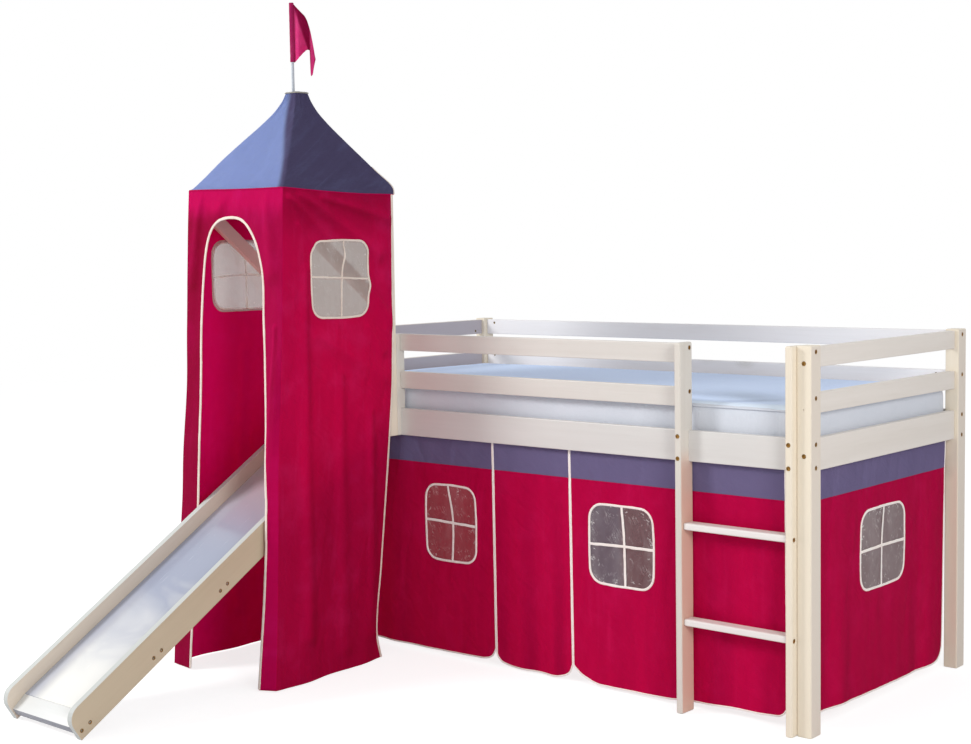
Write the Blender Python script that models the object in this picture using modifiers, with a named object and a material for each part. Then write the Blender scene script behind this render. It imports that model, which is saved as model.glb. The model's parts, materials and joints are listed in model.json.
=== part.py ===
"""A single mid-height bed with a ladder, a cloth tower with a slide, and play curtains.

Metres, +Z up. The origin is the middle of the front right post's foot. The bed runs toward -X and +Y,
and the tower and its slide stand in front of its left end, toward -Y.
"""

import math

import bmesh
import bpy
from mathutils import Matrix, Vector

GAP = 0.0003  # between pieces that touch

# The bed's posts and rails.
LENGTH = 2.08
WIDTH = 1.00
POST_X = 0.046
POST_Y = 0.056
POST_HEIGHT = 1.113
BOARD = 0.022  # thickness of every rail, stile and tower bar
RAIL_HEIGHT = 0.058
SIDE_HEIGHT = 0.093
RAIL_DROP = 0.005  # the top rails lie this far under the posts' tops
GUARD_SPACE = 0.072
SIDE_SPACE = 0.070
EDGE = 0.0025
POST_EDGE = 0.004

# The ladder at the front right.
LADDER_WIDTH = 0.394
STILE_DEPTH = 0.065
STILE_DROP = 0.001
STILE_EDGE = 0.005
RUNG_STEP_SHARE = 0.3394  # of the side rail's height
RUNG_THICK = 0.021
RUNG_DEPTH = 0.045
RUNG_SETBACK = 0.010
RUNG_BOLT = 0.0125  # behind the stile's front

# What holds the mattress.
LEDGER_HEIGHT = 0.020
LEDGER_DEPTH = 0.025
LEDGER_DROP = 0.055
SLATS = 14
SLAT_WIDTH = 0.070
SLAT_THICK = 0.016
SLAT_SIDE = 0.050  # from the bed's front to the slats' ends
SLAT_END = 0.060  # from the bed's end to the first slat
TAPE_WIDTH = 0.025
TAPE_THICK = 0.0013
TAPE_SHARES = (0.22, 0.78)
MATTRESS_END = 0.040  # from the bed's end to the mattress
MATTRESS_SIDE = 0.050  # from the bed's front to the mattress
MATTRESS_THICK = 0.120
MATTRESS_CORNER = 0.050

# Bolt seats, barrel nuts and small holes.
BOLT_SEAT = 0.0072
SEAT_DEPTH = 0.003
NUT = 0.005
NUT_DEPTH = 0.012
NUT_INSET = 0.039
PIN = 0.002
PIN_DEPTH = 0.006
TOP_BOLT_DROP = 0.018  # under the post's top
MID_BOLT_DROP = 0.148
SIDE_BOLT_DROP = 0.278
LOW_BOLT_DROP = 0.344
END_BOLT_DROP = 0.050
END_LOW_BOLT_DROP = 0.310
PIN_DROP = 0.179

# The tower.
TOWER_WIDTH = 0.472
TOWER_DEPTH = 0.4975
UPRIGHT_DEPTH = 0.045
EAVE_HEIGHT = 1.602
EAVE_SAG = 0.016  # the eaves droop this much toward the rear corners
EAVE_SAG_SHARES = (0.0, 0.45, 0.8, 1.0, 1.0)
BAR_HEIGHT = 0.045
PEAK_RISE = 0.332  # over the eaves
PEAK_X = 0.245  # from the tower's left side
PEAK_Y = 0.240  # in front of the bed
PEAK_TOP = 0.054
PEAK_SHIFT = 0.008  # the cloth's top sits this far off the pole, toward +X and +Y
KING = 0.026
CAP = 0.028
CAP_THICK = 0.010
BRACE_RISE = 0.382
BRACE_DROP = 0.048  # the braces' upper ends lie this far under the eaves
BRACE_WIDTH = 0.045
POLE = 0.005
POLE_SOCKET = 0.0053
POLE_DEPTH = 0.040
POLE_RISE = 0.296  # over the peak
CLOTH = 0.0025
ROOF_IN_SHARES = (0.0, 0.0, 0.04, 0.15, 0.33, 0.52, 0.68, 0.79, 0.85, 0.885)
ROOF_UP_SHARES = (0.0, 0.010, 0.032, 0.13, 0.31, 0.50, 0.67, 0.81, 0.92, 1.0)
ROOF_SAG = 0.010
SAG_SHARES = (0.0, 0.0, 0.0, 0.5, 1.0, 1.0, 0.8, 0.5, 0.2, 0.0)
POLE_HOLE = 0.0065

# How the tower's walls hang: shares of the height, then of each outward flare.
DROP_SHARES = (0.0, 0.09, 0.18, 0.285, 0.41, 0.54, 0.66, 0.80, 0.945, 1.0)
FRONT_FLARE = 0.122
FRONT_FLARE_SHARES = (0.0, 0.05, 0.10, 0.16, 0.26, 0.43, 0.57, 0.75, 0.94, 1.0)
SIDE_FLARE = 0.045
REAR_FLARE_SHARE = 0.2  # of the side flare, left at the rear edges
RIGHT_FLARE_SHARES = (0.0, 0.01, 0.02, 0.03, 0.11, 0.22, 0.44, 0.70, 0.94, 1.0)
LEFT_FLARE_SHARES = (0.0, 0.03, 0.06, 0.09, 0.18, 0.28, 0.36, 0.44, 0.50, 0.50)
REAR_PULL = 0.126  # how far the walls' rear edges move forward at the floor
REAR_PULL_SHARES = (0.0, 0.02, 0.04, 0.06, 0.14, 0.32, 0.52, 0.76, 1.0, 0.86)
REAR_EDGE = 0.010
FLAP_TURN = 0.030
FLAP_SHARES = (0.0, 0.0, 0.0, 0.0, 0.43, 0.50, 0.90, 0.90, 0.95, 1.0)
WALL_FOLD = 0.014
FOLD_GROWTH_SHARES = (0.0, 0.0, 0.0, 0.0, 0.35, 0.6, 0.8, 0.9, 1.0, 1.0)
WALL_FOLD_SHARES = (0.0, 0.8, 0.1, 0.9, 0.0)
CORNER = 0.002
WALL_HEM = 0.004
ARCH_DROP = 0.090  # the arch's crown lies this far under the eaves
ARCH_CROWN_SHARES = ((0.225, 0.972), (0.28, 0.988), (0.35, 0.997), (0.43, 1.0), (0.53, 0.997), (0.59, 0.988))
ARCH_LEFT_SHARES = ((0.182, 0.945), (0.150, 0.89), (0.122, 0.77), (0.125, 0.62), (0.150, 0.46))
ARCH_LEFT_FOOT_SHARES = ((0.160, 0.2), (0.140, 0.0))
ARCH_RIGHT_SHARES = ((0.64, 0.973), (0.70, 0.947), (0.745, 0.915), (0.785, 0.87), (0.798, 0.77), (0.855, 0.625))
ARCH_RIGHT_FOOT_SHARES = ((0.92, 0.48), (0.972, 0.39), (0.99, 0.2), (0.988, 0.0))
TOWER_WINDOW_WIDTH = 0.270
TOWER_WINDOW_HEIGHT = 0.262
TOWER_WINDOW_LEFT = 0.242  # the left one is less tall
TOWER_WINDOW_DROP = 0.169  # under the eaves
TOWER_WINDOW_MID = 0.255  # in front of the bed

# The curtains under the bed.
CURTAIN_HEM = 0.009
HEM_RISE = 0.050
FOLD = 0.012
FRONT_LEFT_START = 0.050  # from the bed's left end
FRONT_LEFT_SHARE = 0.38942  # of the bed's length
DOOR_SPACE = 0.012
DOOR_SHARE = 0.15288
FRONT_RIGHT_SPACE = 0.005
FRONT_RIGHT_END = 0.104  # from the bed's right end
END_START = 0.090  # from the bed's front
END_FINISH = 0.074  # from the bed's rear
WINDOW_WIDTH = 0.253
END_WINDOW_WIDTH = 0.292
WINDOW_HEIGHT = 0.285
WINDOW_MID_DROP = 0.295  # from the side rail's lower edge to the front windows' middle
END_WINDOW_HEIGHT = 0.260
END_WINDOW_MID_DROP = 0.282
WINDOW_CORNER = 0.045
TAPE_BAR = 0.007
BAR_PROUD = 0.0012
PANE = 0.0008
PANE_LAP = 0.009
SWING_DROP = 0.001  # the end curtain swings out about a line this far under the rail
FRONT_LEFT_FOLD_SHARES = (
    (0.0, 0.1), (0.10, 0.9), (0.20, 0.2), (0.31, 1.0), (0.42, 0.3), (0.52, 0.7), (0.60, 0.45),
    (0.96, 0.45), (1.0, 0.2),
)
DOOR_FOLD_SHARES = (
    (0.0, 0.2), (0.16, 0.8), (0.34, 0.25), (0.55, 1.0), (0.75, 0.4), (0.90, 0.9), (1.0, 0.5),
)
FRONT_RIGHT_FOLD_SHARES = (
    (0.0, 0.5), (0.06, 0.4), (0.47, 0.4), (0.56, 0.8), (0.66, 0.2), (0.77, 0.9), (0.88, 0.3),
    (1.0, 0.6),
)
END_FOLD_SHARES = (
    (0.0, 0.3), (0.09, 0.9), (0.19, 0.2), (0.27, 0.5), (0.68, 0.5), (0.78, 0.9), (0.89, 0.2),
    (1.0, 0.7),
)
FRONT_LEFT_HEM_SHARES = ((0.0, 0.2), (0.5, 0.1), (0.92, 0.2), (0.955, 0.3), (0.98, 0.55), (1.0, 1.1))
DOOR_HEM_SHARES = ((0.0, 0.1), (0.2, 0.0), (0.76, 0.0), (0.87, 0.13), (0.95, 0.45), (1.0, 1.1))
FRONT_RIGHT_HEM_SHARES = (
    (0.0, 1.0), (0.05, 0.45), (0.145, 0.06), (0.44, 0.1), (0.61, 0.28), (0.96, 0.45), (0.985, 0.65),
    (1.0, 1.0),
)
END_HEM_SHARES = ((0.0, 0.6), (0.02, 0.42), (0.5, 0.35), (0.95, 0.4), (0.98, 0.6), (1.0, 1.0))
FOLD_STEPS = 3  # columns laid between two fold marks

# The slide.
SLIDE_REACH = 1.317  # level distance from its foot to the side rail
SLIDE_SINK = 0.047  # the boards' lower edge meets the side rail this far under its top
SLIDE_WIDTH = 0.357
SLIDE_SPACE = 0.0015  # between the slide and the tower's right upright
SLIDE_HEIGHT = 0.093
NOSE = 0.045
DECK_DEPTH = 0.045  # the deck lies this far under the boards' upper edge
DECK_THICK = 0.014
DECK_START = 0.062
BATTEN_WIDTH = 0.055
BATTEN_THICK = 0.020
BATTEN_START = 0.338
BATTEN_STEP = 0.305
FOOT_START = 0.007
FOOT_LENGTH = 0.053
HOOK = 0.003
HOOK_LEG = 0.009
HOOK_DROP = 0.025
HOOK_BAND = 0.026
HOOK_TAIL = 0.110
SCREW = 0.0066
SCREW_DEPTH = 0.0025
SCREW_SPACE = 0.034

# The flag, in its own frame: X runs from the pole toward its tail.
FLAG_PROUD = 0.002  # over the pole's top
FLAG_HOIST = 0.205
FLAG_TURN = 41.0
FLAG_FLY = 0.0765
SLEEVE_IN = 0.0058
SLEEVE_OUT = 0.0085
FLAG_FOLD = 0.020
FLAG_TOP_SWAY = 0.35  # share of a fold's depth at the flag's upper edge
FLAG_FOLD_SHARES = (
    (0.0, 0.0), (0.10, -0.5), (0.22, -0.8), (0.36, 0.1), (0.50, 0.9), (0.64, 0.6), (0.78, -0.5),
    (0.90, -0.7), (1.0, 0.1),
)
FLAG_TOP_SHARES = (
    (-0.16, 0.04), (0.0, 0.0), (0.12, -0.12), (0.40, -0.36), (0.46, -0.42), (0.56, -0.60),
)
FLAG_FLY_SHARES = ((0.66, -0.92), (0.80, -1.50), (0.90, -2.08), (0.945, -2.36))
FLAG_TAIL_SHARES = ((0.92, -2.52), (0.84, -2.88), (0.80, -3.10), (0.72, -3.16), (0.69, -3.05))
FLAG_NOTCH_SHARES = ((0.67, -2.05), (0.55, -2.02), (0.42, -2.12), (0.25, -2.35), (0.11, -2.50))

# Where the main faces lie.
RIGHT = POST_X / 2
LEFT = RIGHT - LENGTH
FRONT = -POST_Y / 2
REAR = FRONT + WIDTH
MID_X = (LEFT + RIGHT) / 2
MID_Y = (FRONT + REAR) / 2
RAIL_FRONT = FRONT + (POST_Y - BOARD) / 2
RAIL_BACK = RAIL_FRONT + BOARD
END_OUT = RIGHT - (POST_X - BOARD) / 2
END_IN = END_OUT - BOARD
TOP_RAIL = POST_HEIGHT - RAIL_DROP
MID_RAIL = TOP_RAIL - RAIL_HEIGHT - GUARD_SPACE
SIDE_RAIL = MID_RAIL - RAIL_HEIGHT - SIDE_SPACE
SIDE_LOW = SIDE_RAIL - SIDE_HEIGHT
LEDGER_TOP = SIDE_RAIL - LEDGER_DROP
RUNG_STEP = SIDE_RAIL * RUNG_STEP_SHARE
SLAT_LENGTH = WIDTH - 2 * SLAT_SIDE
MATTRESS_LENGTH = LENGTH - 2 * MATTRESS_END
MATTRESS_WIDTH = WIDTH - 2 * MATTRESS_SIDE
SLAT_TOP = LEDGER_TOP + GAP + SLAT_THICK
STILE_RIGHT = RIGHT - POST_X - GAP
STILE_LEFT = STILE_RIGHT - LADDER_WIDTH
STILE_FRONT = RAIL_BACK - STILE_DEPTH
TOWER_RIGHT = LEFT + TOWER_WIDTH
UPRIGHT_BACK = FRONT - GAP
UPRIGHT_FRONT = UPRIGHT_BACK - UPRIGHT_DEPTH
TOWER_FRONT = FRONT - TOWER_DEPTH
BAR_TOP = EAVE_HEIGHT - 3 * GAP
BAR_LOW = BAR_TOP - BAR_HEIGHT
PEAK = Vector((LEFT + PEAK_X, FRONT - PEAK_Y, EAVE_HEIGHT + PEAK_RISE))
POLE_TOP = PEAK.z + POLE_RISE
FLAG_TOP = POLE_TOP + FLAG_PROUD
BRACE_START = EAVE_HEIGHT - BRACE_DROP - BRACE_RISE
ARCH_TOP = EAVE_HEIGHT - ARCH_DROP
TOWER_WINDOW_TOP = EAVE_HEIGHT - TOWER_WINDOW_DROP
SLIDE_CLIMB = SIDE_RAIL - SLIDE_SINK
SLIDE_FACE = RAIL_FRONT - GAP
SLIDE_FOOT = SLIDE_FACE - SLIDE_REACH
SLIDE_ANGLE = math.atan2(SLIDE_CLIMB, SLIDE_REACH)
SLIDE_RIGHT = TOWER_RIGHT - BOARD - SLIDE_SPACE
SLIDE_LEFT = SLIDE_RIGHT - SLIDE_WIDTH
DECK_TOP = SLIDE_HEIGHT - DECK_DEPTH
DECK_LOW = DECK_TOP - DECK_THICK
CURTAIN_TOP = LEDGER_TOP - LEDGER_HEIGHT - GAP
CURTAIN_Y = RAIL_BACK + GAP
CURTAIN_X = END_IN - GAP
WINDOW_MID = SIDE_LOW - WINDOW_MID_DROP
END_WINDOW_MID = SIDE_LOW - END_WINDOW_MID_DROP
END_WIDTH = WIDTH - END_START - END_FINISH
FRONT_LEFT_WIDTH = LENGTH * FRONT_LEFT_SHARE
DOOR_WIDTH = LENGTH * DOOR_SHARE

CREAM = (0.80, 0.75, 0.68)
WHITE = (0.88, 0.88, 0.87)
CRIMSON = (0.42, 0.004, 0.055)
VIOLET = (0.13, 0.115, 0.27)
CLEAR = (0.75, 0.77, 0.80)
BLUE = (0.50, 0.60, 0.82)
STEEL = (0.60, 0.60, 0.62)
PINE = (0.72, 0.58, 0.40)


def start():
    """Clear the scene and make the collections."""
    for old in list(bpy.data.objects):
        bpy.data.objects.remove(old)
    for name in ("bunk_bed", "cutters"):
        made = bpy.data.collections.new(name)
        bpy.context.scene.collection.children.link(made)
    bpy.data.collections["cutters"].hide_render = True


def put(obj, name):
    """Name an object and move it into the collection of that name."""
    for held in list(obj.users_collection):
        held.objects.unlink(obj)
    bpy.data.collections[name].objects.link(obj)


def painted(obj, colour, rough, metal=0.0, clear=0.0):
    """Give an object a material of its own and put it in the bed's collection."""
    made = bpy.data.materials.new(obj.name)
    made.use_nodes = True
    shader = made.node_tree.nodes["Principled BSDF"]
    shader.inputs["Base Color"].default_value = (*colour, 1.0)
    shader.inputs["Roughness"].default_value = rough
    shader.inputs["Metallic"].default_value = metal
    shader.inputs["Transmission Weight"].default_value = clear
    made.diffuse_color = (*colour, 1.0)
    obj.data.materials.clear()
    obj.data.materials.append(made)
    put(obj, "bunk_bed")
    return obj


def as_cutter(obj):
    """Put a helper in the cutters' collection."""
    put(obj, "cutters")
    obj.hide_render = True
    obj.display_type = "WIRE"
    return obj


def box(name, low, high):
    """A block between two corners."""
    low = Vector(low)
    high = Vector(high)
    bpy.ops.mesh.primitive_cube_add(size=1, location=(low + high) / 2)
    obj = bpy.context.object
    obj.name = name
    obj.scale = high - low
    bpy.ops.object.transform_apply(location=False, rotation=False, scale=True)
    return obj


def bore(centre, axis, radius, depth, sides=16):
    """A cylinder about a point of a face, reaching the given depth each way."""
    bpy.ops.mesh.primitive_cylinder_add(
        vertices=sides, radius=radius, depth=2 * depth, location=centre,
        rotation=Vector(axis).to_track_quat("Z", "Y").to_euler(),
    )
    return bpy.context.object


def joined(parts, name):
    """Join helpers that don't overlap into one object."""
    bpy.ops.object.select_all(action="DESELECT")
    for part in parts:
        part.select_set(True)
    bpy.context.view_layer.objects.active = parts[0]
    if len(parts) > 1:
        bpy.ops.object.join()
    parts[0].name = name
    return parts[0]


def plate(name, outline, low, high, axis="X"):
    """A flat outline, extruded along X from the YZ plane, or along Y from the XZ plane."""
    data = bpy.data.curves.new(name, "CURVE")
    data.dimensions = "2D"
    data.fill_mode = "BOTH"
    data.extrude = (high - low) / 2
    line = data.splines.new("POLY")
    line.points.add(len(outline) - 1)
    for point, (along, up) in zip(line.points, outline):
        point.co = (along, up, 0, 1)
    line.use_cyclic_u = True
    obj = bpy.data.objects.new(name, data)
    bpy.context.scene.collection.objects.link(obj)
    mid = (low + high) / 2
    if axis == "X":
        obj.location = (mid, 0, 0)
        obj.rotation_euler = (math.pi / 2, 0, math.pi / 2)
    else:
        obj.location = (0, mid, 0)
        obj.rotation_euler = (math.pi / 2, 0, 0)
    bpy.ops.object.select_all(action="DESELECT")
    obj.select_set(True)
    bpy.context.view_layer.objects.active = obj
    bpy.ops.object.convert(target="MESH")
    bpy.ops.object.transform_apply(location=True, rotation=True, scale=True)
    weld = obj.modifiers.new("weld", "WELD")
    weld.merge_threshold = 0.00001
    return obj


def rounded(obj, width, segments=2):
    """Ease the sharp edges."""
    bevel = obj.modifiers.new("edges", "BEVEL")
    bevel.width = width
    bevel.segments = segments
    bevel.limit_method = "ANGLE"
    bevel.angle_limit = math.radians(40)
    return obj


def cut(obj, helper, how="DIFFERENCE"):
    """Cut, join or intersect with a helper."""
    tool = obj.modifiers.new(helper.name, "BOOLEAN")
    tool.operation = how
    tool.solver = "EXACT"
    tool.object = as_cutter(helper)
    return obj


def sheet(name, columns, rows, place):
    """A closed sheet: place(column, row, side) gives the outer point for side 0, the inner for 1."""
    mesh = bmesh.new()
    grids = []
    for side in (0, 1):
        grids.append([[mesh.verts.new(place(c, r, side)) for r in rows] for c in columns])
    wide = len(columns)
    tall = len(rows)
    for grid in grids:
        for i in range(wide - 1):
            for j in range(tall - 1):
                mesh.faces.new((grid[i][j], grid[i + 1][j], grid[i + 1][j + 1], grid[i][j + 1]))
    outer, inner = grids
    for i in range(wide - 1):
        for j in (0, tall - 1):
            mesh.faces.new((outer[i][j], outer[i + 1][j], inner[i + 1][j], inner[i][j]))
    for j in range(tall - 1):
        for i in (0, wide - 1):
            mesh.faces.new((outer[i][j], outer[i][j + 1], inner[i][j + 1], inner[i][j]))
    bmesh.ops.recalc_face_normals(mesh, faces=mesh.faces)
    data = bpy.data.meshes.new(name)
    mesh.to_mesh(data)
    mesh.free()
    obj = bpy.data.objects.new(name, data)
    bpy.context.scene.collection.objects.link(obj)
    return obj


def at(table, share):
    """Read a table of (share, value) pairs by straight lines."""
    for (a, low), (b, high) in zip(table, table[1:]):
        if share <= b:
            return low + (high - low) * max(0.0, share - a) / (b - a)
    return table[-1][1]


def ring_corners(half_u, half_w, radius, steps=5):
    """A rounded rectangle about the origin."""
    points = []
    for turn, (su, sw) in enumerate(((1, 1), (-1, 1), (-1, -1), (1, -1))):
        for step in range(steps):
            angle = math.pi / 2 * (turn + step / (steps - 1))
            points.append((
                su * (half_u - radius) + radius * math.cos(angle),
                sw * (half_w - radius) + radius * math.sin(angle),
            ))
    return points


def moved(outline, along, up):
    return [(a + along, u + up) for a, u in outline]


def posts():
    """Four posts with bolt seats in their outer faces."""
    for side in ("right", "left"):
        for depth in ("front", "rear"):
            sx = 1 if side == "right" else -1
            sy = -1 if depth == "front" else 1
            out_x = RIGHT if sx > 0 else LEFT
            out_y = FRONT if sy < 0 else REAR
            mid_x = out_x - sx * POST_X / 2
            mid_y = out_y - sy * POST_Y / 2
            obj = box(
                "post_" + depth + "_" + side,
                (mid_x - POST_X / 2, mid_y - POST_Y / 2, 0),
                (mid_x + POST_X / 2, mid_y + POST_Y / 2, POST_HEIGHT),
            )
            painted(rounded(obj, POST_EDGE, 3), CREAM, 0.45)
            seats = []
            for drop in (TOP_BOLT_DROP, MID_BOLT_DROP, SIDE_BOLT_DROP, LOW_BOLT_DROP):
                spot = (out_x, mid_y, POST_HEIGHT - drop)
                seats.append(bore(spot, (1, 0, 0), BOLT_SEAT, SEAT_DEPTH))
            for drop in (END_BOLT_DROP, END_LOW_BOLT_DROP):
                spot = (mid_x, out_y, POST_HEIGHT - drop)
                seats.append(bore(spot, (0, 1, 0), BOLT_SEAT, SEAT_DEPTH))
            spot = (mid_x, out_y, POST_HEIGHT - PIN_DROP)
            seats.append(bore(spot, (0, 1, 0), PIN, PIN_DEPTH, 8))
            cut(obj, joined(seats, obj.name + "_seats"))


def long_rail(name, low_x, high_x, front, top, height, nuts):
    """A rail along X, with a barrel nut bored into its inner face near each named end."""
    obj = box(name, (low_x, front, top - height), (high_x, front + BOARD, top))
    painted(rounded(obj, EDGE), CREAM, 0.45)
    inner = front + BOARD if front < MID_Y else front
    holes = []
    for end, drops in nuts:
        x = high_x - NUT_INSET if end == "right" else low_x + NUT_INSET
        for drop in drops:
            holes.append(bore((x, inner, POST_HEIGHT - drop), (0, 1, 0), NUT, NUT_DEPTH))
    if holes:
        cut(obj, joined(holes, name + "_nuts"))
    return obj


def end_rail(name, out_x, top, height, drops):
    """A rail along Y, with a barrel nut bored into its inner face near both ends."""
    sx = 1 if out_x > MID_X else -1
    low = (min(out_x, out_x - sx * BOARD), FRONT + POST_Y + GAP, top - height)
    high = (max(out_x, out_x - sx * BOARD), REAR - POST_Y - GAP, top)
    obj = painted(rounded(box(name, low, high), EDGE), CREAM, 0.45)
    holes = []
    for drop in drops:
        for y in (low[1] + NUT_INSET, high[1] - NUT_INSET):
            spot = (out_x - sx * BOARD, y, POST_HEIGHT - drop)
            holes.append(bore(spot, (1, 0, 0), NUT, NUT_DEPTH))
    if holes:
        cut(obj, joined(holes, name + "_nuts"))


def rails():
    low_x = LEFT + POST_X + GAP
    high_x = RIGHT - POST_X - GAP
    rear = REAR - (RAIL_FRONT - FRONT) - BOARD
    pair = (SIDE_BOLT_DROP, LOW_BOLT_DROP)
    both = (("left", pair), ("right", pair))
    long_rail("side_rail_front", low_x, high_x, RAIL_FRONT, SIDE_RAIL, SIDE_HEIGHT, both)
    long_rail("side_rail_rear", low_x, high_x, rear, SIDE_RAIL, SIDE_HEIGHT, both)
    for name, top, drop in (("top", TOP_RAIL, TOP_BOLT_DROP), ("mid", MID_RAIL, MID_BOLT_DROP)):
        long_rail(
            "guard_front_" + name, TOWER_RIGHT + GAP, STILE_LEFT - GAP, RAIL_FRONT, top,
            RAIL_HEIGHT, (("left", (drop,)), ("right", (drop,))),
        )
        long_rail(
            "guard_rear_" + name, low_x, high_x, rear, top, RAIL_HEIGHT,
            (("left", (drop,)), ("right", (drop,))),
        )
    for side, out_x in (("right", END_OUT), ("left", LEFT + RIGHT - END_OUT)):
        end_rail("end_guard_" + side + "_top", out_x, TOP_RAIL, RAIL_HEIGHT, (END_BOLT_DROP,))
        end_rail("end_guard_" + side + "_mid", out_x, MID_RAIL, RAIL_HEIGHT, ())
        end_rail("end_rail_" + side, out_x, SIDE_RAIL, SIDE_HEIGHT, (END_LOW_BOLT_DROP,))


def ladder():
    """Two stiles notched round the side rail, and two rungs between them."""
    top = POST_HEIGHT - STILE_DROP
    for side, low_x in (("left", STILE_LEFT), ("right", STILE_RIGHT - BOARD)):
        obj = box(
            "ladder_stile_" + side, (low_x, STILE_FRONT, 0), (low_x + BOARD, RAIL_BACK, top)
        )
        painted(rounded(obj, STILE_EDGE, 3), CREAM, 0.45)
        notch = box(
            obj.name + "_notch", (low_x - BOARD, RAIL_FRONT - GAP, SIDE_LOW - GAP),
            (low_x + 2 * BOARD, RAIL_BACK + BOARD, SIDE_RAIL + GAP),
        )
        cut(obj, notch)
        seats = []
        for drop in (SIDE_BOLT_DROP, LOW_BOLT_DROP):
            spot = (low_x + BOARD / 2, STILE_FRONT, POST_HEIGHT - drop)
            seats.append(bore(spot, (0, 1, 0), BOLT_SEAT, SEAT_DEPTH))
        for step in (1, 2):
            spot = (
                low_x + (BOARD if side == "right" else 0),
                STILE_FRONT + RUNG_BOLT, step * RUNG_STEP - RUNG_THICK / 2,
            )
            seats.append(bore(spot, (1, 0, 0), BOLT_SEAT, SEAT_DEPTH))
        if side == "left":
            for drop in (TOP_BOLT_DROP, MID_BOLT_DROP):
                spot = (low_x + BOARD, RAIL_FRONT + BOARD / 3, POST_HEIGHT - drop)
                seats.append(bore(spot, (1, 0, 0), BOLT_SEAT, SEAT_DEPTH))
            spot = (low_x + BOARD, RAIL_FRONT + BOARD / 3, RUNG_STEP * 3 / 5)
            seats.append(bore(spot, (1, 0, 0), PIN, PIN_DEPTH, 8))
        cut(obj, joined(seats, obj.name + "_seats"))
    for step in (1, 2):
        front = STILE_FRONT + RUNG_SETBACK
        obj = box(
            "ladder_rung_" + ("lower", "upper")[step - 1],
            (STILE_LEFT + BOARD + GAP, front, step * RUNG_STEP - RUNG_THICK),
            (STILE_RIGHT - BOARD - GAP, front + RUNG_DEPTH, step * RUNG_STEP),
        )
        painted(rounded(obj, STILE_EDGE, 3), CREAM, 0.45)


def base():
    """Ledgers on the side rails, and the slats that two webbing tapes hold together."""
    rear = REAR - (RAIL_BACK - FRONT)
    for name, low_y in (("front", RAIL_BACK + GAP), ("rear", rear - GAP - LEDGER_DEPTH)):
        obj = box(
            "ledger_" + name, (LEFT + SLAT_END, low_y, LEDGER_TOP - LEDGER_HEIGHT),
            (RIGHT - SLAT_END, low_y + LEDGER_DEPTH, LEDGER_TOP),
        )
        painted(rounded(obj, EDGE, 1), PINE, 0.6)
    run = LENGTH - 2 * SLAT_END - SLAT_WIDTH
    slats = []
    for number in range(SLATS):
        low_x = LEFT + SLAT_END + run * number / (SLATS - 1)
        slats.append(box(
            "slat", (low_x, MID_Y - SLAT_LENGTH / 2, LEDGER_TOP + GAP),
            (low_x + SLAT_WIDTH, MID_Y + SLAT_LENGTH / 2, SLAT_TOP),
        ))
    obj = joined(slats, "slatted_base")
    painted(rounded(obj, EDGE, 1), PINE, 0.6)
    for number, share in enumerate(TAPE_SHARES):
        mid = MID_Y + (share - 1 / 2) * SLAT_LENGTH
        tape = box(
            "tape_" + str(number),
            (LEFT + SLAT_END + SLAT_WIDTH / 4, mid - TAPE_WIDTH / 2, SLAT_TOP - TAPE_THICK),
            (RIGHT - SLAT_END - SLAT_WIDTH / 4, mid + TAPE_WIDTH / 2, SLAT_TOP + TAPE_THICK),
        )
        cut(obj, tape, "UNION")


def mattress():
    """A loft of rounded rings: flat below, drawn in at mid height, and crowned."""
    low = SLAT_TOP + TAPE_THICK + GAP
    rings = (
        (0.0, 0.10), (0.03, 0.03), (0.10, 0.0), (0.30, 0.05), (0.50, 0.07), (0.70, 0.05),
        (0.87, 0.0), (0.935, 0.03), (0.965, 0.12), (0.98, 0.6), (0.99, 1.6), (1.0, 4.0),
    )
    mesh = bmesh.new()
    loops = []
    for up, inward in rings:
        pull = inward * MATTRESS_THICK
        outline = ring_corners(
            MATTRESS_LENGTH / 2 - pull, MATTRESS_WIDTH / 2 - min(pull, MATTRESS_WIDTH / 3),
            max(MATTRESS_CORNER - pull, MATTRESS_CORNER / 5), 6,
        )
        loops.append([
            mesh.verts.new((MID_X + a, MID_Y + b, low + up * MATTRESS_THICK)) for a, b in outline
        ])
    for lower, upper in zip(loops, loops[1:]):
        for i in range(len(lower)):
            j = (i + 1) % len(lower)
            mesh.faces.new((lower[i], lower[j], upper[j], upper[i]))
    mesh.faces.new(loops[0])
    mesh.faces.new(loops[-1])
    bmesh.ops.recalc_face_normals(mesh, faces=mesh.faces)
    data = bpy.data.meshes.new("mattress")
    mesh.to_mesh(data)
    mesh.free()
    painted(bpy.data.objects.new("mattress", data), BLUE, 0.9)


def slope(along, up):
    """A point of the slide, from its foot: distance up the slope and height off its lower edge."""
    return (
        SLIDE_FOOT + along * math.cos(SLIDE_ANGLE) - up * math.sin(SLIDE_ANGLE),
        along * math.sin(SLIDE_ANGLE) + up * math.cos(SLIDE_ANGLE),
    )


def at_face(up):
    """How far up the slope a line at this height meets the side rail's face."""
    return (SLIDE_REACH + up * math.sin(SLIDE_ANGLE)) / math.cos(SLIDE_ANGLE)


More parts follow.
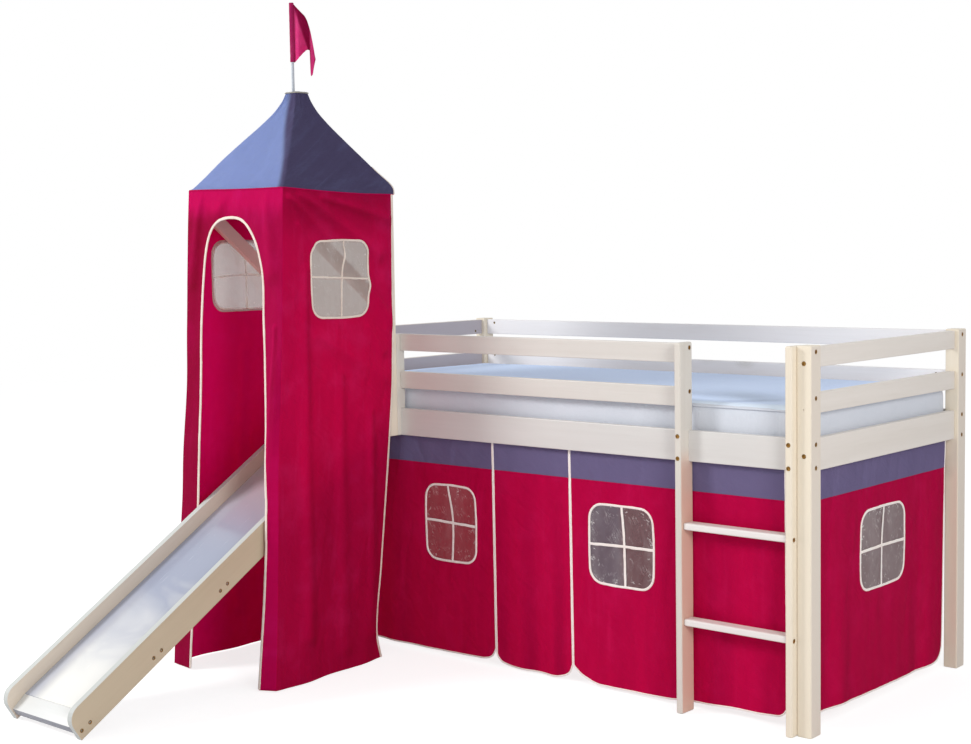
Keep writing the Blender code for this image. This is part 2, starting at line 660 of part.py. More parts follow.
def slide():
    nose = [
        (NOSE - NOSE * math.cos(turn * math.pi / 12), SLIDE_HEIGHT - NOSE + NOSE * math.sin(turn * math.pi / 12))
        for turn in range(7)
    ]
    line = [slope(0, 0)] + [slope(a, u) for a, u in nose]
    line += [slope(at_face(SLIDE_HEIGHT), SLIDE_HEIGHT), slope(at_face(0), 0)]
    for side, low_x in (("left", SLIDE_LEFT), ("right", SLIDE_RIGHT - BOARD)):
        obj = plate("slide_board_" + side, line, low_x, low_x + BOARD)
        painted(rounded(obj, EDGE), CREAM, 0.45)
        out_x = low_x if side == "left" else low_x + BOARD
        seats = []
        middles = [FOOT_START + FOOT_LENGTH / 2] + [BATTEN_START + n * BATTEN_STEP for n in range(4)]
        for middle in middles:
            for shift in (-SCREW_SPACE / 2, SCREW_SPACE / 2):
                y, z = slope(middle + shift, DECK_LOW - BATTEN_THICK / 2)
                seats.append(bore((out_x, y, z), (1, 0, 0), SCREW, SCREW_DEPTH, 10))
        cut(obj, joined(seats, obj.name + "_seats"))
    low_x = SLIDE_LEFT + BOARD + GAP
    high_x = SLIDE_RIGHT - BOARD - GAP
    deck = [
        slope(DECK_START, DECK_LOW), slope(at_face(DECK_LOW), DECK_LOW),
        slope(at_face(DECK_TOP), DECK_TOP), slope(DECK_START, DECK_TOP),
    ]
    painted(rounded(plate("slide_deck", deck, low_x, high_x), EDGE), WHITE, 0.12)
    under = DECK_LOW - GAP
    spans = [("slide_foot_board", FOOT_START, FOOT_START + FOOT_LENGTH)]
    for number in range(4):
        middle = BATTEN_START + number * BATTEN_STEP
        name = "slide_batten_" + str(number + 1)
        spans.append((name, middle - BATTEN_WIDTH / 2, middle + BATTEN_WIDTH / 2))
    for name, begin, end in spans:
        bar = [
            slope(begin, under - BATTEN_THICK), slope(end, under - BATTEN_THICK), slope(end, under),
            slope(begin, under),
        ]
        painted(rounded(plate(name, bar, low_x, high_x), EDGE), CREAM, 0.45)
    back = RAIL_BACK + GAP
    band_top = SIDE_RAIL + GAP + HOOK_BAND
    reach = at_face(DECK_TOP) - HOOK_TAIL
    hook = [
        slope(reach, DECK_TOP + 3 * GAP), (SLIDE_FACE, SIDE_RAIL + GAP + 2 * HOOK),
        (SLIDE_FACE, SIDE_RAIL + GAP), (back, SIDE_RAIL + GAP), (back, SIDE_RAIL - HOOK_DROP),
        (back + HOOK_LEG, SIDE_RAIL - HOOK_DROP), (back + HOOK_LEG, band_top),
        (SLIDE_FACE, band_top), slope(reach, DECK_TOP + HOOK_BAND),
    ]
    hook[1] = (SLIDE_FACE, max(hook[1][1], slope(at_face(DECK_TOP), DECK_TOP + 3 * GAP)[1]))
    for side, low in (("left", low_x), ("right", high_x - HOOK)):
        painted(plate("slide_hook_" + side, hook, low, low + HOOK), STEEL, 0.35, 1.0)


def tower_frame():
    """Uprights, arms, bars and braces that the cloth hangs on, and the post under its peak."""
    inner_left = LEFT + BOARD
    inner_right = TOWER_RIGHT - BOARD
    bars = (
        ("upright_left", (LEFT, UPRIGHT_FRONT, SIDE_LOW), (inner_left, UPRIGHT_BACK, BAR_TOP)),
        ("upright_right", (inner_right, UPRIGHT_FRONT, SIDE_LOW), (TOWER_RIGHT, UPRIGHT_BACK, BAR_TOP)),
        ("arm_left", (LEFT, TOWER_FRONT, BAR_LOW), (inner_left, UPRIGHT_FRONT - GAP, BAR_TOP)),
        ("arm_right", (inner_right, TOWER_FRONT, BAR_LOW), (TOWER_RIGHT, UPRIGHT_FRONT - GAP, BAR_TOP)),
        (
            "front_bar", (inner_left + GAP, TOWER_FRONT, BAR_LOW),
            (inner_right - GAP, TOWER_FRONT + BOARD, BAR_TOP),
        ),
        (
            "back_bar", (inner_left + GAP, UPRIGHT_FRONT, BAR_LOW),
            (inner_right - GAP, UPRIGHT_FRONT + BOARD, BAR_TOP),
        ),
        (
            "cross_bar", (inner_left + GAP, PEAK.y - BAR_HEIGHT / 2, BAR_LOW),
            (inner_right - GAP, PEAK.y + BAR_HEIGHT / 2, BAR_TOP),
        ),
        (
            "king_post", (PEAK.x - KING / 2, PEAK.y - KING / 2, BAR_TOP + GAP),
            (PEAK.x + KING / 2, PEAK.y + KING / 2, PEAK.z - CLOTH - CAP_THICK - 2 * GAP),
        ),
        (
            "king_cap", (PEAK.x - CAP / 2, PEAK.y - CAP / 2, PEAK.z - CLOTH - CAP_THICK - GAP),
            (PEAK.x + CAP / 2, PEAK.y + CAP / 2, PEAK.z - CLOTH - GAP),
        ),
    )
    made = {}
    for name, low, high in bars:
        made[name] = painted(rounded(box("tower_" + name, low, high), EDGE), CREAM, 0.45)
    for name in ("king_post", "king_cap"):
        top = PEAK.z - CLOTH - CAP_THICK
        cut(made[name], bore((PEAK.x, PEAK.y, top), (0, 0, 1), POLE_SOCKET, POLE_DEPTH))
        made[name].modifiers[-1].object.name = name + "_socket"
    stile = box(
        "rail_end_stile", (inner_right, FRONT + GAP, SIDE_LOW), (TOWER_RIGHT, RAIL_BACK, TOP_RAIL)
    )
    painted(rounded(stile, EDGE), CREAM, 0.45)
    cut(stile, box(
        "rail_end_stile_notch", (inner_right - BOARD, RAIL_FRONT - GAP, SIDE_LOW - BOARD),
        (TOWER_RIGHT + BOARD, RAIL_BACK + BOARD, SIDE_RAIL + GAP),
    ))
    near = UPRIGHT_BACK
    far = TOWER_FRONT + BOARD + GAP
    half = BRACE_WIDTH / 2 / math.cos(math.atan2(BRACE_RISE, near - far))
    brace = [
        (near, BRACE_START - half), (near, BRACE_START + half), (far, BRACE_START + BRACE_RISE + half),
        (far, BRACE_START + BRACE_RISE - half),
    ]
    for side, low_x in (("left", inner_left + GAP), ("right", inner_right - GAP - BOARD)):
        obj = plate("tower_brace_" + side, brace, low_x, low_x + BOARD)
        painted(rounded(obj, EDGE), CREAM, 0.45)
    foot = PEAK.z - CLOTH - CAP_THICK - POLE_DEPTH + 2 * GAP
    bpy.ops.mesh.primitive_cylinder_add(
        vertices=20, radius=POLE, depth=POLE_TOP - foot,
        location=(PEAK.x, PEAK.y, (POLE_TOP + foot) / 2),
    )
    pole = bpy.context.object
    pole.name = "flag_pole"
    painted(rounded(pole, POLE / 3), WHITE, 0.4)


def square_ring(low, high, steps):
    """Points round a rectangle in plan, with (x, y, sag share) and the corners in place."""
    points = []
    corners = ((low[0], low[1]), (high[0], low[1]), (high[0], high[1]), (low[0], high[1]))
    for number in range(4):
        a = Vector(corners[number])
        b = Vector(corners[(number + 1) % 4])
        for step in range(steps):
            share = step / steps
            points.append((a.lerp(b, share), 4 * share * (1 - share), (b - a).normalized()))
    return points


def eave_droop(y):
    """How far the eaves hang under their height at a depth."""
    last = len(EAVE_SAG_SHARES) - 1
    marks = [(i / last, v) for i, v in enumerate(EAVE_SAG_SHARES)]
    return EAVE_SAG * at(marks, (y - TOWER_FRONT) / (UPRIGHT_BACK - TOWER_FRONT))


def tower_roof():
    """Four sagging slopes from the eaves to a small flat top, which the flag pole passes."""
    steps = 6
    mesh = bmesh.new()
    loops = []
    for inner in (0, 1):
        inset = CLOTH * inner - CLOTH - GAP
        low = (LEFT + inset, TOWER_FRONT + inset)
        high = (TOWER_RIGHT - inset, UPRIGHT_BACK - inset)
        base_ring = square_ring(low, high, steps)
        side = []
        for number, (inward, up) in enumerate(zip(ROOF_IN_SHARES, ROOF_UP_SHARES)):
            half = PEAK_TOP / 2 - inner * CLOTH
            mid_x = PEAK.x + PEAK_SHIFT
            mid_y = PEAK.y + PEAK_SHIFT
            tip = square_ring((mid_x - half, mid_y - half), (mid_x + half, mid_y + half), steps)
            reach = inward / ROOF_IN_SHARES[-1]
            z = EAVE_HEIGHT + up * (PEAK.z - EAVE_HEIGHT)
            if inner and number:
                z -= CLOTH * (1 if number == len(ROOF_IN_SHARES) - 1 else 1 / 2)
            loop = []
            for (a, share, run), (b, _, _) in zip(base_ring, tip):
                spot = a.lerp(b, reach)
                toward = Vector((-run.y, run.x))
                spot = spot + toward * ROOF_SAG * share * SAG_SHARES[number] * (1 - inner / 8)
                droop = eave_droop(spot.y) if number == 0 else 0
                loop.append(mesh.verts.new((spot.x, spot.y, z - droop)))
            side.append(loop)
        hole = []
        for point in side[-1]:
            out = Vector((point.co.x - PEAK.x, point.co.y - PEAK.y, 0)).normalized()
            hole.append(mesh.verts.new((
                PEAK.x + out.x * POLE_HOLE, PEAK.y + out.y * POLE_HOLE, PEAK.z - inner * CLOTH
            )))
        side.append(hole)
        loops.append(side)
    chain = loops[0] + loops[1][::-1]
    for lower, upper in zip(chain, chain[1:] + chain[:1]):
        for i in range(len(lower)):
            j = (i + 1) % len(lower)
            mesh.faces.new((lower[i], lower[j], upper[j], upper[i]))
    bmesh.ops.recalc_face_normals(mesh, faces=mesh.faces)
    data = bpy.data.meshes.new("tower_roof")
    mesh.to_mesh(data)
    mesh.free()
    painted(bpy.data.objects.new("tower_roof", data), VIOLET, 0.85)


def wall_plan(level):
    """The walls' outer line in plan at a level: rear left, corners and arch edges, rear right."""
    front = TOWER_FRONT - CLOTH - GAP - FRONT_FLARE * FRONT_FLARE_SHARES[level]
    left = LEFT - CLOTH - GAP - SIDE_FLARE * LEFT_FLARE_SHARES[level]
    right = TOWER_RIGHT + CLOTH + GAP + SIDE_FLARE * RIGHT_FLARE_SHARES[level]
    back = UPRIGHT_BACK - REAR_EDGE - REAR_PULL * REAR_PULL_SHARES[level]
    turn = FLAP_TURN * FLAP_SHARES[level]
    side = TOWER_RIGHT + CLOTH + GAP + SIDE_FLARE * RIGHT_FLARE_SHARES[level] * REAR_FLARE_SHARE
    other = LEFT - CLOTH - GAP - SIDE_FLARE * LEFT_FLARE_SHARES[level] * REAR_FLARE_SHARE
    return (
        Vector((other, back)),
        Vector((left, front + turn / 2)),
        Vector((LEFT + TOWER_WIDTH / 4, front)),
        Vector((TOWER_RIGHT - TOWER_WIDTH / 4, front)),
        Vector((TOWER_RIGHT - TOWER_WIDTH / 40, front - turn)),
        Vector((right, front)),
        Vector((side, back)),
    )


def wall_line(level):
    """The plan line at a level as points, each with its outward direction."""
    key = wall_plan(level)
    points = []
    growth = FOLD_GROWTH_SHARES[level] * WALL_FOLD
    spans = (8, 3, 4, 3, 2, 8)
    for number, (a, b) in enumerate(zip(key, key[1:])):
        run = (b - a).normalized()
        out = Vector((run.y, -run.x))
        begin = a if number == 0 else a + run * CORNER
        end = b if number == len(spans) - 1 else b - run * CORNER
        for step in range(spans[number] + 1):
            share = step / spans[number]
            fold = 0.0
            if number in (0, len(spans) - 1):
                marks = [(i / (len(WALL_FOLD_SHARES) - 1), v) for i, v in enumerate(WALL_FOLD_SHARES)]
                fold = growth * at(marks, share if number == 0 else 1 - share)
            points.append((begin.lerp(end, share) + out * fold, out))
    return points


def tower_walls():
    """Three cloth walls in one piece, with an arch cut in the front and a window in each side."""
    lines = [wall_line(level) for level in range(len(DROP_SHARES))]
    top = EAVE_HEIGHT - GAP

    def place(column, level, side):
        spot, _ = lines[level][column]
        points = lines[level]
        before = points[max(column - 1, 0)][0]
        after = points[min(column + 1, len(points) - 1)][0]
        run = (after - before).normalized()
        out = Vector((run.y, -run.x))
        spot = spot - out * CLOTH * side
        start_z = top - eave_droop(spot.y) - GAP if level == 0 else top
        return (spot.x, spot.y, start_z - DROP_SHARES[level] * (top - WALL_HEM))

    obj = sheet("tower_walls", range(len(lines[0])), range(len(DROP_SHARES)), place)
    painted(obj, CRIMSON, 0.85)
    arch = [(a, h) for a, h in ARCH_LEFT_FOOT_SHARES[::-1] + ARCH_LEFT_SHARES[::-1]]
    arch += sorted(ARCH_CROWN_SHARES)
    arch += list(ARCH_RIGHT_SHARES + ARCH_RIGHT_FOOT_SHARES)
    line = [(LEFT + a * TOWER_WIDTH, h * ARCH_TOP) for a, h in arch]
    line = [(line[0][0], -BOARD)] + line + [(line[-1][0], -BOARD)]
    cut(obj, plate(
        "tower_arch", line, TOWER_FRONT - FRONT_FLARE - 2 * FLAP_TURN, TOWER_FRONT + TOWER_DEPTH / 9, "Y"
    ))
    for side, middle in (("left", LEFT), ("right", TOWER_RIGHT)):
        high = TOWER_WINDOW_LEFT if side == "left" else TOWER_WINDOW_HEIGHT
        outline = moved(
            ring_corners(TOWER_WINDOW_WIDTH / 2, high / 2, WINDOW_CORNER),
            FRONT - TOWER_WINDOW_MID, TOWER_WINDOW_TOP - high / 2,
        )
        helper = plate("tower_window_" + side, outline, middle - BOARD, middle + BOARD)
        cut(obj, helper)


def side_face(side, y, z, depth):
    """A point of a tower side wall between the first levels, at a depth inside its outer face."""
    top = EAVE_HEIGHT - GAP
    drop = (top - z) / (top - WALL_HEM)
    sign = 1 if side == "right" else -1
    shares = RIGHT_FLARE_SHARES if side == "right" else LEFT_FLARE_SHARES
    flare = SIDE_FLARE * at(list(zip(DROP_SHARES, shares)), drop)
    pull = REAR_PULL * at(list(zip(DROP_SHARES, REAR_PULL_SHARES)), drop)
    run = FRONT_FLARE * at(list(zip(DROP_SHARES, FRONT_FLARE_SHARES)), drop)
    back = UPRIGHT_BACK - REAR_EDGE - pull
    front = TOWER_FRONT - CLOTH - GAP - run
    forward = (back - y) / (back - front)
    out = CLOTH + GAP + flare * (REAR_FLARE_SHARE + (1 - REAR_FLARE_SHARE) * forward)
    start_x = TOWER_RIGHT if side == "right" else LEFT
    return (start_x + sign * (out - depth), y, z)


def pane(name, half_u, half_w, mid_u, mid_w, face, begin):
    """A clear window: a rounded sheet behind the cloth, with a cross of tape sewn on its face."""
    wide = half_u + PANE_LAP
    high = half_w + PANE_LAP
    columns = [mid_u - wide + 2 * wide * i / 8 for i in range(9)]
    rows = [mid_w - high + 2 * high * i / 6 for i in range(7)]

    def place(u, w, side):
        return face(u, w, begin + PANE * side)

    obj = sheet(name, columns, rows, place)
    painted(obj, CLEAR, 0.08, 0.0, 0.9)
    outline = moved(ring_corners(wide, high, WINDOW_CORNER + PANE_LAP), mid_u, mid_w)
    along_x = abs(Vector(face(mid_u + 1, mid_w, 0)).x - Vector(face(mid_u, mid_w, 0)).x) > 1 / 2
    centre = Vector(face(mid_u, mid_w, 0))
    spot = centre.y if along_x else centre.x
    helper = plate(name + "_outline", outline, spot - 2 * BOARD, spot + 2 * BOARD, "Y" if along_x else "X")
    cut(obj, helper, "INTERSECT")
    bars = (
        ("up", (mid_u - TAPE_BAR / 2, mid_u + TAPE_BAR / 2), half_w - 2 * GAP),
        ("across", (mid_w - TAPE_BAR / 2, mid_w + TAPE_BAR / 2), half_u - 2 * GAP),
    )
    for word, pair, half in bars:
        run = [(mid_w if word == "up" else mid_u) - half + 2 * half * i / 6 for i in range(7)]

        def lay(across, along, side, word=word):
            shift = begin + PANE / 2 if side else begin - BAR_PROUD * (1 if word == "up" else 3 / 4)
            if word == "up":
                return face(across, along, shift)
            return face(along, across, shift)

        cut(obj, sheet(name + "_tape_" + word, pair, run, lay), "UNION")
    return obj


def curtain(name, begin, width, folds, hems, along_x):
    """A hanging panel: flat behind the rail, folding inward below it. It returns its face function."""

    def offset(share, z):
        fall = max(0.0, (SIDE_LOW - z) / (SIDE_LOW - CURTAIN_HEM))
        return FOLD * at(folds, share) * fall

    def face(u, z, depth):
        share = (u - begin) / width
        deep = offset(share, z) + depth
        if along_x:
            return (u, CURTAIN_Y + deep, z)
        return (CURTAIN_X - deep, u, z)

    marks = sorted({share for share, _ in folds} | {share for share, _ in hems})
    columns = []
    for a, b in zip(marks, marks[1:]):
        steps = FOLD_STEPS if b - a > 1 / 12 else 1
        columns += [a + (b - a) * i / steps for i in range(steps)]
    columns.append(1.0)
    rows = (0.0, 0.10, 0.25, 0.5, 0.75, 0.92, 1.0)

    def place(share, down, side):
        low = CURTAIN_HEM + HEM_RISE * at(hems, share)
        if down < rows[1]:
            z = CURTAIN_TOP
        else:
            fall = (down - rows[1]) / (1 - rows[1])
            z = SIDE_LOW - fall * (SIDE_LOW - low)
        return face(begin + share * width, z, CLOTH * side)

    obj = sheet(name, columns, rows, place)
    painted(obj, CRIMSON, 0.85)
    return obj, face


def curtains():
    left = LEFT + FRONT_LEFT_START
    door = left + FRONT_LEFT_WIDTH + DOOR_SPACE
    right = door + DOOR_WIDTH + FRONT_RIGHT_SPACE
    right_width = RIGHT - FRONT_RIGHT_END - right
    runs = (
        ("curtain_front_left", left, FRONT_LEFT_WIDTH, FRONT_LEFT_FOLD_SHARES,
         FRONT_LEFT_HEM_SHARES, True, 0.78, WINDOW_WIDTH, WINDOW_HEIGHT, WINDOW_MID),
        ("curtain_door", door, DOOR_WIDTH, DOOR_FOLD_SHARES, DOOR_HEM_SHARES, True, 0.0, 0.0, 0.0, 0.0),
        ("curtain_front_right", right, right_width, FRONT_RIGHT_FOLD_SHARES,
         FRONT_RIGHT_HEM_SHARES, True, 0.265, WINDOW_WIDTH, WINDOW_HEIGHT, WINDOW_MID),
        ("curtain_end", FRONT + END_START, END_WIDTH, END_FOLD_SHARES, END_HEM_SHARES, False,
         0.478, END_WINDOW_WIDTH, END_WINDOW_HEIGHT, END_WINDOW_MID),
    )
    for name, begin, width, folds, hems, along_x, middle, opening, high, mid_w in runs:
        obj, face = curtain(name, begin, width, folds, hems, along_x)
        if not opening:
            continue
        mid_u = begin + middle * width
        outline = moved(
            ring_corners(opening / 2, high / 2, WINDOW_CORNER), mid_u, mid_w
        )
        spot = CURTAIN_Y if along_x else CURTAIN_X
        axis = "Y" if along_x else "X"
        cut(obj, plate(name + "_window", outline, spot - 2 * BOARD, spot + 2 * BOARD, axis))
        pane(
            "window_" + name, opening / 2, high / 2, mid_u, mid_w, face, CLOTH + GAP
        )


def tower_panes():
    for side in ("left", "right"):

        def face(u, w, depth, side=side):
            return side_face(side, u, w, depth)

        high = TOWER_WINDOW_LEFT if side == "left" else TOWER_WINDOW_HEIGHT
        pane(
            "window_tower_" + side, TOWER_WINDOW_WIDTH / 2, high / 2,
            FRONT - TOWER_WINDOW_MID, TOWER_WINDOW_TOP - high / 2, face, CLOTH + GAP,
        )


def flag():
    """A folded swallow tail sewn to a sleeve that turns on the pole."""
    fly = FLAG_FLY
    low = FLAG_TOP - FLAG_HOIST
    columns = [share for share, _ in FLAG_FOLD_SHARES]
    marks = []
    for a, b in zip(columns, columns[1:]):
        marks += [a, (a + b) / 2]
    marks.append(columns[-1])

    def place(share, down, side):
        x = SLEEVE_IN + (SLEEVE_OUT - SLEEVE_IN) / 3 + share * fly
        smooth = at(FLAG_FOLD_SHARES, share)
        y = FLAG_FOLD * smooth * (FLAG_TOP_SWAY + (1 - FLAG_TOP_SWAY) * down)
        return (x, y + CLOTH * (side - 1 / 2), FLAG_TOP + fly / 9 - down * fly * 3.4)

    rows = [i / 6 for i in range(7)]
    obj = sheet("flag", marks, rows, place)
    painted(obj, CRIMSON, 0.85)
    table = FLAG_TOP_SHARES + FLAG_FLY_SHARES + FLAG_TAIL_SHARES + FLAG_NOTCH_SHARES
    line = [(a * fly, FLAG_TOP - SLEEVE_OUT + u * fly) for a, u in table]
    line.append((-SLEEVE_OUT * 2, low - SLEEVE_OUT))
    cut(obj, plate("flag_outline", line, -2 * FLAG_FOLD, 2 * FLAG_FOLD, "Y"), "INTERSECT")
    sleeve = bore((0, 0, (FLAG_TOP + low) / 2), (0, 0, 1), SLEEVE_OUT, FLAG_HOIST / 2, 20)
    sleeve.name = "flag_sleeve"
    cut(obj, sleeve, "UNION")
    inside = bore((0, 0, (FLAG_TOP + low) / 2), (0, 0, 1), SLEEVE_IN, FLAG_HOIST, 20)
    inside.name = "flag_bore"
    cut(obj, inside)
    turn = Matrix.Rotation(math.radians(FLAG_TURN), 4, "Z")
    spot = Matrix.Translation((PEAK.x, PEAK.y, 0))
    for piece in (obj, sleeve, inside, bpy.data.objects["flag_outline"]):
        piece.matrix_world = spot @ turn @ piece.matrix_world


def origins():
    """Put each moving piece's origin on the line it moves about."""
    lines = {
        "curtain_front_left": (0, CURTAIN_Y + CLOTH, CURTAIN_TOP),
        "curtain_door": (0, CURTAIN_Y + CLOTH, CURTAIN_TOP),
        "curtain_front_right": (0, CURTAIN_Y + CLOTH, CURTAIN_TOP),
        "curtain_end": (CURTAIN_X, 0, SIDE_LOW - SWING_DROP),
    }
    for name, point in lines.items():
        for piece in (name, "window_" + name):
            obj = bpy.data.objects.get(piece)
            if obj is None:
                continue
            spot = Vector(point)
            obj.data.transform(Matrix.Translation(obj.location - spot))
            obj.location = spot


start()
posts()
rails()
ladder()
base()
mattress()
slide()
tower_frame()
tower_roof()
tower_walls()
tower_panes()
curtains()
flag()
origins()
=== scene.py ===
# %% [markdown]
# # A mid-height bed with a cloth tower, a slide and play curtains
# The hard parts come from CAD and never move here. This script gives every surface its finish, and
# makes the soft parts again: the mattress, the tower's walls and roof, four curtains and a flag.
# Lengths are metres, and +Z is up. The origin is under the middle of the front right post.

# %% Load the frame
import json
import math

import bpy
from mathutils import Matrix, Vector, noise

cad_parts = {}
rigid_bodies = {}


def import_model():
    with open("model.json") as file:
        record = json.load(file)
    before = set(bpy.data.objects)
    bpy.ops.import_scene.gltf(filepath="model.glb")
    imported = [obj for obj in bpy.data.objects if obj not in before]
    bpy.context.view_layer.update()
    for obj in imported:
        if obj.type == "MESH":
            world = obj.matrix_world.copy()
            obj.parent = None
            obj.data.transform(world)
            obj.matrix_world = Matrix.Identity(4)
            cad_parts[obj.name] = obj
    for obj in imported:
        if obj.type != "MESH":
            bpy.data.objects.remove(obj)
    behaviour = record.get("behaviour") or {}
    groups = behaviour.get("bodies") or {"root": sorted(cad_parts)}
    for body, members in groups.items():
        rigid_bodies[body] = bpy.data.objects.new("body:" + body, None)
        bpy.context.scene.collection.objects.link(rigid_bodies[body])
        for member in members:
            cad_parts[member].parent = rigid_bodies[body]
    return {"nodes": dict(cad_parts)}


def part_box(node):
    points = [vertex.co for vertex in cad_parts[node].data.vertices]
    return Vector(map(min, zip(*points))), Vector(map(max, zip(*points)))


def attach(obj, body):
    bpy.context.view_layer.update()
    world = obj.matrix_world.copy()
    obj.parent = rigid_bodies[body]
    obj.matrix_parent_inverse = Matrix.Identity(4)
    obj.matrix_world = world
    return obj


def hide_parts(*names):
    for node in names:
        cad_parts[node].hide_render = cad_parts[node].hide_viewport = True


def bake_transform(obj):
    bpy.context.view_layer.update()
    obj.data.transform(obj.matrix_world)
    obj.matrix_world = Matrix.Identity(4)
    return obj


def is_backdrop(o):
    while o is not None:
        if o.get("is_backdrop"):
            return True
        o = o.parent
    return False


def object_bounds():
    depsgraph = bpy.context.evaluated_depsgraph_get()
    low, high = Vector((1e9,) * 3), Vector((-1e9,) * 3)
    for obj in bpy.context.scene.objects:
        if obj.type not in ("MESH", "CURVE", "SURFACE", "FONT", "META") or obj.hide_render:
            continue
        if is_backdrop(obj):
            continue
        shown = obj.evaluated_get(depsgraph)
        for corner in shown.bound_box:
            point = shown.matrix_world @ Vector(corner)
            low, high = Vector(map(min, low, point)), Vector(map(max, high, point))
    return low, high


for old in list(bpy.data.objects):
    bpy.data.objects.remove(old)
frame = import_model()
cad_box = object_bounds()
bpy.ops.object.select_all(action="DESELECT")

# %% [markdown]
# Every finish below is a small net of shader nodes. Writing the sums of such a net as plain Python
# keeps it readable, so one class stands for "what comes out of a node", and adding two of them
# lays down a Math node. A second class lays down every other node, and a third holds a material.


# %% Shader helpers
class Wire:
    """What comes out of a node. Sums on it add Math nodes."""

    def __init__(self, net, socket):
        self.net = net
        self.socket = socket

    def math(self, how, first, second):
        return self.net.node("Math", {"operation": how}, {0: first, 1: second})

    def __add__(self, other):
        return self.math("ADD", self, other)

    def __sub__(self, other):
        return self.math("SUBTRACT", self, other)

    def __rsub__(self, other):
        return self.math("SUBTRACT", other, self)

    def __mul__(self, other):
        return self.math("MULTIPLY", self, other)

    def most(self, other):
        return self.math("MAXIMUM", self, other)

    __radd__ = __add__


class Net:
    """A tree of shader nodes."""

    def __init__(self, tree):
        self.tree = tree

    def node(self, kind, settings, inputs, output=0):
        made = self.tree.nodes.new("ShaderNode" + kind)
        for key, value in settings.items():
            if key != "stops":
                setattr(made, key, value)
                continue
            marks = made.color_ramp.elements
            while len(marks) < len(value):
                marks.new(1.0)
            for mark, (place, shade) in zip(marks, value):
                mark.position = place
                mark.color = shade
        for key, value in inputs.items():
            if isinstance(value, Wire):
                self.tree.links.new(value.socket, made.inputs[key])
            else:
                made.inputs[key].default_value = value
        return Wire(self, made.outputs[output])


class Finish(Net):
    """A material, and the nodes that feed its shader."""

    def __init__(self, name, **constants):
        self.material = bpy.data.materials.new(name)
        self.material.use_nodes = True
        super().__init__(self.material.node_tree)
        self.shader = self.tree.nodes["Principled BSDF"]
        for key, value in constants.items():
            self.shader.inputs[key.replace("_", " ")].default_value = value

    def feed(self, **wires):
        for key, wire in wires.items():
            self.tree.links.new(wire.socket, self.shader.inputs[key.replace("_", " ")])
        return self.material

    def overlay(self, share, shader):
        """Show another shader in place of the first, by a share."""
        own = Wire(self, self.shader.outputs[0])
        both = self.node("MixShader", {}, {0: share, 1: own, 2: shader})
        self.tree.links.new(both.socket, self.tree.nodes["Material Output"].inputs["Surface"])
        return self.material

    def let_light_through(self, colour, share):
        """Thin cloth also shows the light that falls on its other side."""
        return self.overlay(share, self.node("BsdfTranslucent", {}, {"Color": colour}))

    def place(self, scale=(1, 1, 1), turn=(0, 0, 0), uv=None):
        """The object's own coordinates, or its flat cloth coordinates, turned and then scaled."""
        if uv:
            here = self.node("UVMap", {"uv_map": uv}, {})
        else:
            here = self.node("TexCoord", {}, {}, "Object")
        if any(turn):
            here = self.node("Mapping", {}, {"Vector": here, "Rotation": turn})
        return self.node("Mapping", {}, {"Vector": here, "Scale": scale})

    def along(self, axis):
        """How far along X, Y or Z a point lies."""
        return self.node("SeparateXYZ", {}, {0: self.place()}, axis)

    def kept(self, name):
        """A number that was written at each point of the mesh."""
        return self.node("Attribute", {"attribute_name": name}, {}, "Fac")

    def noise(self, where, scale, detail=3.0, rough=0.55, bend=0.0):
        return self.node("TexNoise", {}, {
            "Vector": where, "Scale": scale, "Detail": detail, "Roughness": rough, "Distortion": bend,
        })

    def cells(self, where, scale, feature="F1"):
        return self.node("TexVoronoi", {"feature": feature}, {"Vector": where, "Scale": scale}, "Distance")

    def bands(self, where, period, direction="X"):
        """Soft stripes with this distance between them."""
        waves = math.pi / 10 / period
        return self.node("TexWave", {"bands_direction": direction}, {"Vector": where, "Scale": waves})

    def step(self, value, low, high):
        """0 under low, 1 over high, and smooth between."""
        return self.node("MapRange", {"interpolation_type": "SMOOTHSTEP"}, {0: value, 1: low, 2: high})

    def mix(self, share, first, second):
        return self.node("Mix", {"data_type": "RGBA"}, {0: share, 6: first, 7: second}, 2)

    def bump(self, height, distance, strength=1.0, over=None):
        inputs = {"Height": height, "Distance": distance, "Strength": strength}
        return self.node("Bump", {}, {**inputs, "Normal": over} if over else inputs)


def rgb(text):
    """Six hex digits of a screen colour, in linear light."""
    parts = [int(text[i:i + 2], 16) / 255 for i in (0, 2, 4)]
    return tuple(p / 12.92 if p < 0.0404 else ((p + 0.055) / 1.055) ** 2.4 for p in parts) + (1.0,)


# %% [markdown]
# ## Painted pine
# The boards are pine under a thin cream paint. The paint is smooth, but the grain still stands up a
# little along each board, knots bleed through as pale grey-tan clouds, and the sheen changes where
# the brush overlapped. One function lays this down for boards that run along X, Y or Z, or along
# the slide's slope, by stretching the same noise along the board.


# %% Painted pine
SLOPE = math.atan2(0.803, 1.317)  # the slide's rise over its run
RUN, RISE = math.cos(SLOPE), math.sin(SLOPE)
STRETCH = {"X": (0.055, 1, 1), "Y": (1, 0.055, 1), "Z": (1, 1, 0.055)}
NEAR = 0.0002  # a face's own tint is full this far under it
DEEP = 0.0006  # and gone this far under it


